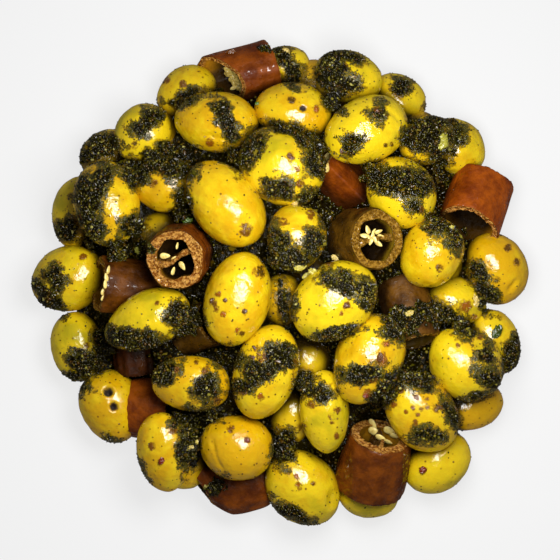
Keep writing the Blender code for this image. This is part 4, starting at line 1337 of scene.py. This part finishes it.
core_points, core_faces = [], []
for ring in range(CORE_RINGS + 1):
    radius = CORE_RADIUS * (1 - ring / (CORE_RINGS + 1))
    angles = math.tau * np.arange(CORE_SIDES) / CORE_SIDES
    x, y = radius * np.cos(angles), radius * np.sin(angles)
    core_points.append(np.stack((x, y, core_height(x, y)), 1))
core_points = np.concatenate(core_points)
core_points[:, 2] += 0.5 * MM * waves(core_points[:, :2] / MM, 9, 12, 1.8, 5.0) + DARK_RAISED
for piece in chillies:
    x, y = core_points[:, 0], core_points[:, 1]
    mirrored = tube_top(piece, 2 * piece.middle[0] - x, 2 * piece.middle[1] - y)
    under = 2 * piece.middle[2] - mirrored
    lowered = np.minimum(core_points[:, 2], under + 0.5 * MM)
    core_points[:, 2] = np.where(mirrored > 0, lowered, core_points[:, 2])
core_points[:, 2] = np.maximum(core_points[:, 2], 1.0 * MM)
rim_points = core_points[:CORE_SIDES].copy()
rim_points[:, 2] = 0.3 * MM
core_points = np.concatenate((rim_points, core_points))
for ring in range(CORE_RINGS + 1):
    for side in range(CORE_SIDES):
        following = (side + 1) % CORE_SIDES
        a, b = ring * CORE_SIDES + side, ring * CORE_SIDES + following
        core_faces.append((a, b, b + CORE_SIDES, a + CORE_SIDES))
last = len(core_points) - CORE_SIDES
core_faces.append(tuple(range(last, last + CORE_SIDES)))
core_faces.append(tuple(range(CORE_SIDES - 1, -1, -1)))
core = mesh_object("dark_core", core_points, core_faces, halves(core_points[:, 0]), smooth=False)
core.data.materials.append(paste.material)
on_core = {"Per_square_metre": 1e6, "Apart": 1.1 * MM, "Smallest": 0.6, "Largest": 1.4}
core_bits = scattered_halves("core_bits", core.data, 5, Lift=0.1 * MM, **on_core)
print("core has", len(core.data.polygons), "faces")

# %% [markdown]
# ## Chilli
# A pickled chilli cut across is a thick-walled tube. Its skin is brown and glossy with long shallow
# wrinkles, the cut flesh is rough and lighter, and inside a pale rib carries flat cream seeds. One
# closed wall makes the tube: round the outside, over the cut, back down the bore and over the far
# cut. Each slice gets its own colour, from orange-brown to nearly black.

# %% Chilli flesh and skin
chilli = Finish("chilli", IOR=1.5, Specular_IOR_Level=0.14, Coat_Roughness=0.05)
warmth = chilli.attribute("warmth")
olive_brown = chilli.attribute("olive_brown")
is_cut = chilli.attribute("cut")
inside = chilli.attribute("inside")
cloud = chilli.step(chilli.noise(5 * MM, 4, 0.6), 0.30, 0.70)
fine = chilli.noise(0.8 * MM, 4, 0.65)
dark_skin = chilli.blend(cloud, (0.026, 0.006, 0.0006), (0.095, 0.022, 0.001))
warm_skin = chilli.blend(cloud, (0.150, 0.024, 0.001), (0.350, 0.072, 0.002))
green_skin = chilli.blend(cloud, (0.030, 0.017, 0.001), (0.120, 0.068, 0.004))
colour = chilli.blend(warmth, dark_skin, warm_skin)
colour = chilli.blend(olive_brown, colour, green_skin)
# The cut flesh is grainy, and its light flecks are also made bright enough to stand as painted glints.
flesh = chilli.blend(chilli.step(fine, 0.40, 0.65), (0.200, 0.050, 0.0040), (0.800, 0.400, 0.085))
green_flesh = chilli.blend(chilli.step(fine, 0.40, 0.65), (0.120, 0.062, 0.002), (0.340, 0.190, 0.012))
colour = chilli.blend(is_cut, colour, chilli.blend(olive_brown, flesh, green_flesh))
# Painted light and shade in the bore: near the open end the flesh colour is bright, as light shining through
# the thin wall, and further in it turns nearly black.
bore = chilli.blend(olive_brown, (0.360, 0.150, 0.005), (0.280, 0.190, 0.008))
shaded_bore = chilli.blend(cloud, (0.012, 0.005, 0.001), (0.050, 0.022, 0.001))
bore = chilli.blend(chilli.attribute("shade"), bore, shaded_bore)
colour = chilli.blend(inside, colour, bore)
# Painted shade: a tube turns nearly black where it lies deep below the heap round it.
deep = chilli.step(chilli.attribute("depth"), 0.45, 1.00)
colour = chilli.blend(deep * 0.80, colour, (0.004, 0.0018, 0.0004))
wrinkle = chilli.noise(2.2 * MM, 4, 0.62)
wet = chilli.step(chilli.noise(1.3 * MM, 3, 0.6), 0.56, 0.60)
height = wrinkle * 2.2 + fine * (0.10 + is_cut * 5.0)
rough = (0.50 - 0.42 * wet) * (1 - is_cut) + 0.10 * is_cut
glint = wet * (1 - is_cut) + chilli.step(fine, 0.56, 0.60) * is_cut
chilli.feed(
    Base_Color=colour,
    Roughness=rough,
    Coat_Weight=glint * (1 - inside),
    Normal=chilli.bump(height, 0.25 * MM),
)

seed_finish = Finish("chilli_seed", Roughness=0.3, IOR=1.5, Specular_IOR_Level=0.6)
speckle = seed_finish.noise(0.9 * MM, 3, 0.6)
colour = seed_finish.blend(seed_finish.step(speckle, 0.45, 0.75), (0.84, 0.66, 0.20), (0.55, 0.35, 0.06))
seed_finish.feed(Base_Color=colour, Normal=seed_finish.bump(speckle, 0.08 * MM))
print("chilli finishes ready")

# %% The tubes
TUBE_OVAL = 0.96
# The way a slanted cut faces: degrees round from +X, and degrees up.
SLANTED_CUTS = {"chilli_north": (222, 40), "chilli_south_rim": (216, 6), "chilli_east": (248, 37)}
# How warm, from nearly black to orange-brown; how olive-brown; and how thick the wall is in mm.
TUBE_LOOKS = {
    "chilli_east": (0.95, 0.0, 1.8),
    "chilli_by_pitted_olive": (0.75, 0.10, 1.6),
    "chilli_north": (0.60, 0.05, 1.4),
    "chilli_south_east": (0.36, 0.12, 3.3),
    "chilli_shard": (0.60, 0.0, 1.8),
    "chilli_seeded_ring": (0.35, 0.75, 2.6),
    "chilli_under_clot": (0.30, 0.60, 1.8),
    "chilli_west": (0.20, 0.25, 1.8),
    "chilli_upright_ring": (0.45, 0.12, 3.1),
    "chilli_south_rim": (0.45, 0.10, 1.8),
    "chilli_deep_west": (0.0, 0.0, 1.8),
    "chilli_deep_middle": (0.05, 0.60, 1.8),
}
AROUND = 96
SKIN_STEPS = 30
CUT_STEPS = 7
BORE_STEPS = 16
UPRIGHT = 0.6
BORE_ENDS = 0.25
# How wide a tube is at its far end, middle and open end, beside its plain width, and how many
# millimetres are missing from its open end.
PROFILES = {
    "chilli_south_east": (1.10, 1.10, 0.95, 4.2),
    "chilli_south_rim": (0.72, 1.12, 0.84, 0.0),
    "chilli_north": (1.08, 1.0, 1.0, 0.0),
    "chilli_east": (1.0, 1.0, 1.02, 0.0),
    "chilli_deep_middle": (0.8, 0.95, 1.12, 0.0),
    "chilli_west": (0.94, 1.0, 1.03, 0.0),
}
PLAIN_PROFILE = (0.97, 1.0, 0.97, 0.0)
# How far up its half length the painted light in a well lit bore gives way to painted shade.
BORES_DARK_FROM = {"chilli_south_east": 0.70, "chilli_west": 0.80}
DARK_FROM = 0.95
BORE_FADE = 0.6
# A well lit bore gets less of the painted shade of deep gaps.
LIT_DEPTH = 0.4
# How nearly square a folded tube's section is, with a corner up.
ANGULAR = {"chilli_shard": 0.75, "chilli_east": 0.2, "chilli_north": 0.2}
# The turn on the cut face, in degrees, of the rib across each open end.
RIBS = {"chilli_upright_ring": 68, "chilli_seeded_ring": 100, "chilli_south_east": 95}


def facing_up(piece):
    """Whether one looks straight down the tube's bore."""
    return piece.axis.z > UPRIGHT


def lean_of(piece):
    """The way the open end's cut faces, in the piece's own directions."""
    if piece.name not in SLANTED_CUTS:
        return np.array((0.0, 0.0, 1.0))
    return piece.turn().T @ np.array(facing(*SLANTED_CUTS[piece.name]))


def tube_skin(piece):
    """Points, faces and stored numbers of one tube."""
    seed = own_seed(piece.name)
    angle = math.tau * np.arange(AROUND) / AROUND
    circle = np.stack((np.cos(angle), np.sin(angle)), 1)
    warm, olive_brown, thick = TUBE_LOOKS[piece.name]
    wall = thick * MM * (1 + 0.14 * waves(circle, seed, 3, 0.8, 2.0))
    if piece.name in RIBS:
        rib = math.radians(RIBS[piece.name])
        wall += 0.5 * MM * np.abs(np.cos(angle - rib)) ** 12
    far, middle, near, missing = PROFILES.get(piece.name, PLAIN_PROFILE)
    outer = piece.half_width * (1 + 0.022 * waves(circle, seed + 1, 4, 0.7, 1.8))
    if piece.name in ANGULAR:
        up = piece.turn().T @ np.array((0.0, 0.0, 1.0))
        turned = angle - math.atan2(up[1], up[0]) - math.pi / 4
        corner = 1 / np.maximum(np.abs(np.cos(turned)), np.abs(np.sin(turned)))
        outer = outer * (1 + ANGULAR[piece.name] * (corner - 1.25))
    lean = lean_of(piece)
    dark_from = BORES_DARK_FROM.get(piece.name, DARK_FROM)
    rings, cut, inside, shade = [], [], [], []

    def add_ring(radius, along, share, end, is_cut, is_inside):
        x, y = radius * circle[:, 0], radius * circle[:, 1] * TUBE_OVAL
        z = np.full(AROUND, along - missing * MM * (along / piece.half_length + 1) / 2)
        if end == 1:
            z = z - share * (lean[0] * x + lean[1] * y) / lean[2]
        rings.append(np.stack((x, y, z), 1))
        cut.append(np.full(AROUND, is_cut))
        inside.append(np.full(AROUND, is_inside))
        # How much painted shade the bore gets here.
        darkness = smooth_step(dark_from, dark_from - BORE_FADE, abs(along) / piece.half_length)
        shade.append(np.full(AROUND, darkness))

    def width_at(t):
        return middle + (near - far) / 2 * t + ((near + far) / 2 - middle) * t * t

    long = piece.half_length
    round_off = 0.35 * MM
    for step in range(SKIN_STEPS + 1):
        t = 2 * step / SKIN_STEPS - 1
        places = np.column_stack((circle * 3, np.full(AROUND, t * 0.9)))
        folds = 0.16 * MM * waves(places, seed + 2, 9, 0.7, 1.8)
        radius = outer * width_at(t) + folds - 0.3 * round_off * (abs(t) == 1)
        add_ring(radius, t * (long - round_off * 0.5), max(t, 0), 1 if t > 0 else -1, 0.0, 0.0)
    for end in (1, -1):
        for step in range(CUT_STEPS + 1):
            share = step / CUT_STEPS if end == 1 else 1 - step / CUT_STEPS
            radius = outer * width_at(end) - round_off - share * (wall - round_off)
            rough = 0.16 * MM * waves(circle * 12 + share * 5 * end, seed + 3 + end, 10, 0.7, 2.5)
            sunk = 0.25 * MM * math.sin(math.pi * share)
            add_ring(radius, end * (long - sunk), 1, end, 1.0, 0.0)
            rings[-1][:, 2] += rough
        if end == -1:
            break
        for step in range(1, BORE_STEPS):
            t = 1 - 2 * step / BORE_STEPS
            places = np.column_stack((circle * 2, np.full(AROUND, t)))
            folds = 0.14 * MM * waves(places, seed + 6, 6, 0.8, 2)
            radius = outer * width_at(t) - wall + folds
            if facing_up(piece) and abs(t + BORE_ENDS) < 0.1:
                radius = radius * 0.02
            add_ring(radius, t * long, max(t, 0), 1 if t > 0 else -1, 0.0, 1.0)
    points = np.concatenate(rings)
    count = len(rings)
    index = np.arange(count * AROUND).reshape(count, AROUND)
    following = np.roll(index, -1, axis=0)
    faces = np.stack((index, np.roll(index, -1, 1), np.roll(following, -1, 1), following), -1).reshape(-1, 4)
    points = points @ piece.turn().T + piece.middle
    numbers = {
        "cut": np.concatenate(cut),
        "inside": np.concatenate(inside),
        "shade": np.concatenate(shade),
        "warmth": np.full(len(points), warm),
        "olive_brown": np.full(len(points), olive_brown),
        "depth": depth_at(points) * (LIT_DEPTH if piece.name in BORES_DARK_FROM else 1),
    }
    return points, faces, numbers


tube_objects = []
for piece in chillies:
    points, faces, numbers = tube_skin(piece)
    tube = mesh_object("pickled_" + piece.name, points, faces, numbers)
    tube.data.materials.append(chilli.material)
    tube_objects.append((tube, piece))
print(len(tube_objects), "tubes,", sum(len(tube.data.polygons) for tube, _ in tube_objects), "faces")

# %% [markdown]
# ## Ribs and seeds
# The rib is a soft wall across the bore, torn where it was cut. Seeds cling along its edge and lie
# where they fell. Each seed is placed by its pixel, and its height comes from the plane of the cut
# that it lies in, so it rests on what carries it from any side.

# %% The ribs
RIB_THICK = 2.1 * MM
RIB_SUNK = 0.7 * MM
RIB_COLUMNS, RIB_ROWS = 30, 20


def rib_wall(piece):
    """Points, faces and stored numbers of the rib across a tube's bore."""
    seed = own_seed(piece.name) + 20
    turned = math.radians(RIBS[piece.name])
    warm, olive_brown, thick = TUBE_LOOKS[piece.name]
    far, middle, near, missing = PROFILES.get(piece.name, PLAIN_PROFILE)
    half_span = (piece.half_width * near - 0.45 * thick * MM) * TUBE_OVAL
    lean = lean_of(piece)
    sides = []
    for side in (1, -1):
        for row in range(RIB_ROWS + 1):
            for column in range(RIB_COLUMNS + 1):
                across = (2 * column / RIB_COLUMNS - 1) * half_span
                sides.append((across, side, row / RIB_ROWS))
    sides = np.array(sides)
    across, side, share = sides.T
    sway = 0.9 * MM * waves(np.column_stack((across / half_span, share)), seed, 3, 1.2, 2.6)
    uneven = 1 + 0.2 * waves(sides[:, ::2] * 300, seed + 1, 6, 0.5, 1.5)
    thick = RIB_THICK * (0.6 + 1.1 * (across / half_span) ** 2) * uneven
    edge = (share == 0) | (share == 1)
    off = sway + side * thick / 2 * np.where(edge, 0.6, 1.0)
    x = across * math.cos(turned) - off * math.sin(turned)
    y = across * math.sin(turned) + off * math.cos(turned)
    top = piece.half_length - missing * MM - RIB_SUNK - (lean[0] * x + lean[1] * y) / lean[2]
    top = top + 0.5 * MM * waves(across[:, None] / MM, seed + 2, 5, 1.5, 4.0)
    z = (-piece.half_length + RIB_SUNK) * (1 - share) + top * share
    points = np.stack((x, y, z), 1)
    count = (RIB_ROWS + 1) * (RIB_COLUMNS + 1)
    index = np.arange(count).reshape(RIB_ROWS + 1, RIB_COLUMNS + 1)
    a, b, c, d = index[:-1, :-1], index[:-1, 1:], index[1:, 1:], index[1:, :-1]
    front = np.stack((b, a, d, c), -1).reshape(-1, 4)
    faces = [front, front[:, ::-1] + count]
    rim = np.concatenate((index[0, :-1], index[:-1, -1], index[-1, :0:-1], index[:0:-1, 0]))
    faces.append(np.stack((rim, np.roll(rim, -1), np.roll(rim, -1) + count, rim + count), 1))
    points = points @ piece.turn().T + piece.middle
    numbers = {"cut": 0.85, "inside": 0.0, "shade": 0.0, "warmth": warm, "olive_brown": olive_brown}
    return points, np.concatenate(faces), {**numbers, "depth": depth_at(points)}


ribs = Batch()
by_name = {piece.name: piece for piece in chillies}
for name in RIBS:
    points, faces, numbers = rib_wall(by_name[name])
    ribs.add(points, faces, **numbers)
rib_object = ribs.build("chilli_ribs")
rib_object.data.materials.append(chilli.material)
print("ribs have", len(rib_object.data.polygons), "faces")

# %% The seeds
# Photo x, photo y, turn on the photo in degrees, tilt in degrees, and length in mm.
SEEDS = {
    "chilli_upright_ring": (
        (166, 256, 0, 20, 3.2), (183, 266, -58, 30, 3.0), (175, 258, 30, 60, 2.0),
        (178, 246, 80, 65, 2.2), (174, 271, 75, 50, 2.6),
    ),
    "chilli_seeded_ring": (
        (367, 230, 108, 30, 2.7), (373, 232, 62, 55, 2.2), (378, 232, 25, 40, 2.5),
        (380, 236, -8, 60, 2.0), (363, 236, 170, 20, 2.5), (368, 237, 120, 50, 2.2),
        (372, 236, 80, 30, 2.3), (378, 244, -35, 30, 2.6), (370, 242, -110, 35, 2.3),
        (374, 240, -60, 20, 2.3),
    ),
    "chilli_south_east": (
        (373, 424, -55, 45, 3.6), (375, 432, -30, 35, 4.4), (390, 431, -25, 30, 4.2),
        (395, 436, -20, 50, 3.4), (381, 438, -28, 50, 3.8), (388, 442, -20, 55, 3.0),
    ),
    "chilli_north": ((240, 84, 75, 40, 3.2), (234, 87, 20, 40, 2.6)),
    "chilli_west": (
        (109, 270, 80, 60, 2.8), (107, 277, 100, 40, 2.6), (106, 284, 90, 50, 2.8),
        (104, 291, 70, 40, 2.6), (104, 297, 60, 60, 2.6),
    ),
    "chilli_shard": ((328, 155, 60, 40, 3.4), (327, 168, 85, 45, 3.0)),
}


def seed_shape(middle, turn, tilt, length):
    """Points and faces of a flat seed with a blunt point, turned on the plan and tilted."""
    unit, faces = SMALL_BALL
    wide = length * 0.58 * (1 - 0.35 * unit[:, 0])
    thick = length * 0.28
    points = np.stack((unit[:, 0] * length / 2, unit[:, 1] * wide / 2, unit[:, 2] * thick / 2), 1)
    points[:, 2] += 0.08 * (points[:, 0] ** 2) / length
    rotation = Matrix.Rotation(math.radians(turn), 3, "Z") @ Matrix.Rotation(math.radians(tilt), 3, "X")
    return points @ np.array(rotation).T + middle, faces


def tree_of(objects):
    """A search tree over the faces of several objects."""
    points, faces = [], []
    for obj in objects:
        start = len(points)
        points.extend(point.co for point in obj.data.vertices)
        faces.extend([start + index for index in face.vertices] for face in obj.data.polygons)
    return BVHTree.FromPolygons(points, faces)


def cut_height(piece, x, y):
    """The height of the tube's cut plane above a place on the plan."""
    facing_way = piece.turn() @ lean_of(piece)
    middle = piece.middle + piece.half_length * np.array(piece.axis)
    return middle[2] - (facing_way[0] * (x - middle[0]) + facing_way[1] * (y - middle[1])) / facing_way[2]


ABOVE = 100 * MM
SEED_HANGS = 2.2 * MM
SEED_PROUD = 0.4 * MM

chilli_tree = tree_of([tube for tube, _ in tube_objects] + [rib_object])
seeds = Batch()
for name, rows in SEEDS.items():
    piece = by_name[name]
    for px, py, turn, tilt, length in rows:
        x, y = on_plan(px, py)
        met = chilli_tree.ray_cast((x, y, ABOVE), (0, 0, -1))[0]
        height = met.z if met else 0.0
        if facing_up(piece):
            height = max(height, cut_height(piece, x, y) - SEED_HANGS)
        points, faces = seed_shape((x, y, height + SEED_PROUD), turn, tilt, length * MM)
        seeds.add(points, faces)
seed_object = seeds.build("chilli_seeds")
seed_object.data.materials.append(seed_finish.material)
print(len(seed_object.data.polygons), "faces on the seeds")

# %% [markdown]
# ## Scraps
# A few scraps of garlic, stalk, chilli flake and chilli skin lie about on the heap. Each is a small
# lump, placed by its pixel and sunk a little into what it lies on.

# %% Scraps
# Photo x, photo y, length and width in pixels, turn in degrees, and colour: cream 0, yellow-green
# 0.25, green 0.45, brown 0.7 or red 1.
SCRAPS = (
    (441, 142, 16, 12, 70, 0.25), (450, 228, 6, 4, 20, 0.2), (475, 301, 11, 7, 100, 0.05),
    (409, 313, 8, 5, 20, 0.1), (415, 358, 10, 4, 15, 0.2), (408, 364, 8, 4, -20, 0.1),
    (189, 433, 6, 4, 60, 0.05), (191, 447, 6, 4, 10, 0.1), (190, 430, 4, 4, 0, 0.1),
    (197, 442, 5, 3, 80, 0.15), (335, 258, 8, 5, 150, 0.05), (295, 202, 8, 7, 30, 0.05),
    (286, 50, 8, 6, 120, 0.05), (300, 267, 12, 6, 20, 0.2), (313, 272, 10, 6, -15, 0.2),
    (306, 276, 8, 5, 40, 0.22), (188, 221, 10, 6, 10, 0.45), (138, 250, 7, 6, 90, 0.3),
    (231, 51, 9, 6, 15, 0.8), (162, 460, 7, 5, 60, 1.0), (423, 470, 7, 6, 20, 1.0),
    (247, 440, 5, 4, 0, 0.95), (365, 395, 5, 4, 0, 0.95), (256, 348, 8, 3, -40, 0.7),
    (254, 357, 6, 4, -20, 0.7), (379, 357, 9, 5, 80, 0.75), (213, 300, 5, 4, 45, 0.7),
    (226, 300, 5, 4, 0, 0.75), (245, 311, 5, 4, 0, 0.7), (497, 332, 13, 8, 60, 0.5),
    (341, 152, 5, 3, 100, 0.7), (258, 104, 5, 3, 0, 0.45), (377, 113, 7, 4, 150, 0.8),
    (346, 305, 6, 5, 0, 0.75), (290, 158, 7, 4, 150, 0.85),
)
SCRAP_THICK = 0.55
SCRAP_SUNK = 0.25
SCRAP_COLOURS = (
    (0.00, (0.720, 0.500, 0.130)),
    (0.25, (0.450, 0.420, 0.050)),
    (0.45, (0.080, 0.180, 0.010)),
    (0.52, (0.010, 0.016, 0.002)),
    (0.70, (0.080, 0.024, 0.002)),
    (0.85, (0.140, 0.035, 0.002)),
    (1.00, (0.190, 0.012, 0.003)),
)

scrap_finish = Finish("scraps", IOR=1.5, Specular_IOR_Level=0.6)
colour = scrap_finish.scale(scrap_finish.attribute("tint"), SCRAP_COLOURS)
grain = scrap_finish.noise(0.7 * MM, 3, 0.6)
colour = scrap_finish.blend(scrap_finish.step(grain, 0.35, 0.75) * 0.5, colour, (0.10, 0.05, 0.004))
scrap_finish.feed(Base_Color=colour, Roughness=0.10 + 0.2 * grain, Normal=scrap_finish.bump(grain, 0.2 * MM))

scraps = Batch()


def lump(seed, size, turn, place, tone):
    """Adds an uneven ball of this size in pixels, turned on the plan."""
    unit, faces = PLAIN_BALL
    shape = unit * (1 + 0.22 * waves(unit * 3, seed, 6, 0.9, 2.5))[:, None]
    shape = shape * np.array(size) * PIXEL / 2
    spin = np.array(Matrix.Rotation(math.radians(turn), 3, "Z"))
    scraps.add(shape @ spin.T + np.array(place), faces, tint=tone)


highest = np.maximum(surface, np.where(held, paste_top, 0))
for number, (px, py, length, width, turn, tone) in enumerate(SCRAPS):
    thick = SCRAP_THICK * width
    x, y = on_plan(px, py)
    z = float(read(highest, np.array([x]), np.array([y]))[0])
    place = (x, y, z + (0.5 - SCRAP_SUNK) * thick * PIXEL)
    lump(300 + number, (length, width, thick), turn, place, tone)

# The soft core of the north chilli, which shows in its open end.
NORTH_CORE = ((229, 70, 17, 10, -62), (235, 79, 16, 10, -50), (241, 87, 10, 8, -30))
for px, py, length, width, turn in NORTH_CORE:
    x, y = on_plan(px, py)
    met = chilli_tree.ray_cast((x, y, ABOVE), (0, 0, -1))[0]
    middle = by_name["chilli_north"].middle[2]
    inside_north = met.z if met and met.z < middle else middle
    place = (x, y, inside_north + 0.3 * width * PIXEL)
    lump(400 + px, (length, width, width), turn, place, 0.06)
scrap_object = scraps.build("scraps_of_garlic_and_skin")
scrap_object.data.materials.append(scrap_finish.material)
print(len(scrap_object.data.polygons), "faces on the scraps")

# %% [markdown]
# ## Inside the solids' box
# Swollen skins and the topmost bits stand a little proud of the solids. So a band along each side
# of their box is pressed together until all fits. What sits on something still sits on it.

# %% Press in the edges
EDGE_BAND = 4 * MM
EDGE_GAP = 0.02 * MM


def corners_of(obj):
    corners = np.empty(len(obj.data.vertices) * 3)
    obj.data.vertices.foreach_get("co", corners)
    return corners.reshape(-1, 3)


def pressed(value, reach, limit):
    """Values past the band's inner edge, pressed so that the reach comes to the limit."""
    inner = limit - EDGE_BAND
    share = min(1, EDGE_BAND / (reach - inner))
    return np.where(value > inner, inner + (value - inner) * share, value)


tubes = [tube for tube, _ in tube_objects]
herb_objects = [herb_paste, *herb_bits, core, *core_bits, *herb_flecks]
dressed = [*olive_objects, *herb_objects, *tubes, rib_object, seed_object, scrap_object]
low, high = np.array(cad_box)
reach_low = np.min([corners_of(obj).min(0) for obj in dressed], 0)
reach_high = np.max([corners_of(obj).max(0) for obj in dressed], 0)
for obj in dressed:
    corners = corners_of(obj)
    for axis in range(3):
        corners[:, axis] = pressed(corners[:, axis], reach_high[axis], high[axis] - EDGE_GAP)
        corners[:, axis] = -pressed(-corners[:, axis], -reach_low[axis], -low[axis] - EDGE_GAP)
    obj.data.vertices.foreach_set("co", corners.ravel())
    obj.data.update()
print("pressed in by up to", np.round(np.maximum(reach_high - high, low - reach_low) / MM, 2), "mm")

# %% [markdown]
# ## Riding on the heap's body
# Each dressed piece rides on the heap's one body. The heap's solid and the chillies' solids are
# hidden, and the olives and the tubes show in their place.

# %% Ride on the body and hide the solids
for obj in olive_objects:
    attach(obj, "root")
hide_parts("olive_heap")
for obj in herb_objects:
    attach(obj, "root")
for tube, piece in tube_objects:
    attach(tube, "root")
    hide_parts(piece.name)
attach(rib_object, "root")
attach(seed_object, "root")
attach(scrap_object, "root")

# %% [markdown]
# ## Floor, light and camera
# The heap was photographed on a bright plain surface with hardly a shadow, under a soft light near
# the camera. A pale floor that glows a little gives the same shadowless ground, and throws light
# up under the olives at the rim. One soft lamp overhead makes the white highlights.

# %% Floor
FLOOR_SIDE = 12.0
FLOOR_HEIGHT = -0.02 * MM
PALE = {"Base_Color": (0.10, 0.10, 0.10, 1), "Emission_Color": (1, 1, 1, 1), "Emission_Strength": 0.775}

half = FLOOR_SIDE / 2
corners = [(x, y, FLOOR_HEIGHT) for x, y in ((-half, -half), (half, -half), (half, half), (-half, half))]
floor = mesh_object("floor", corners, [(0, 1, 2, 3)], smooth=False)
floor_finish = Finish("floor", Roughness=0.7, **PALE)
floor.data.materials.append(floor_finish.material)
floor.visible_glossy = False

# %% Lights
MAIN_PLACE = (0.027, 0.022, 0.21)
MAIN_SIZE = (0.12, 0.09)
MAIN_POWER = 0.60
MAIN_TARGET = (0, 0, 0.02)
SKY = 0.11

lamp_data = bpy.data.lights.new("overhead", "AREA")
lamp_data.shape = "RECTANGLE"
lamp_data.size, lamp_data.size_y = MAIN_SIZE
lamp_data.energy = MAIN_POWER
lamp = bpy.data.objects.new("overhead", lamp_data)
lamp.location = MAIN_PLACE
looks = Vector(MAIN_TARGET) - Vector(MAIN_PLACE)
lamp.rotation_euler = looks.to_track_quat("-Z", "Y").to_euler()
lamp.visible_camera = False
bpy.context.scene.collection.objects.link(lamp)
world = bpy.data.worlds.new("studio")
world.use_nodes = True
background = world.node_tree.nodes["Background"]
background.inputs["Color"].default_value = (1, 1, 1, 1)
background.inputs["Strength"].default_value = SKY
bpy.context.scene.world = world
bpy.context.scene.view_settings.view_transform = "Standard"

# %% Camera
CAMERA_HEIGHT = 2.6
LEVEL_IN_SCALE = 18 * MM
PHOTO_SIDE = 560
camera_data = bpy.data.cameras.new("camera")
camera_data.sensor_width = 36
camera_data.lens = 36 * (CAMERA_HEIGHT - LEVEL_IN_SCALE) / (PHOTO_SIDE * PIXEL)
camera_data.clip_start, camera_data.clip_end = 0.1, 20
camera = bpy.data.objects.new("camera", camera_data)
camera.location = (*on_plan(PHOTO_SIDE / 2, PHOTO_SIDE / 2), CAMERA_HEIGHT)
bpy.context.scene.collection.objects.link(camera)
bpy.context.scene.camera = camera
print("lens", round(camera_data.lens), "mm")
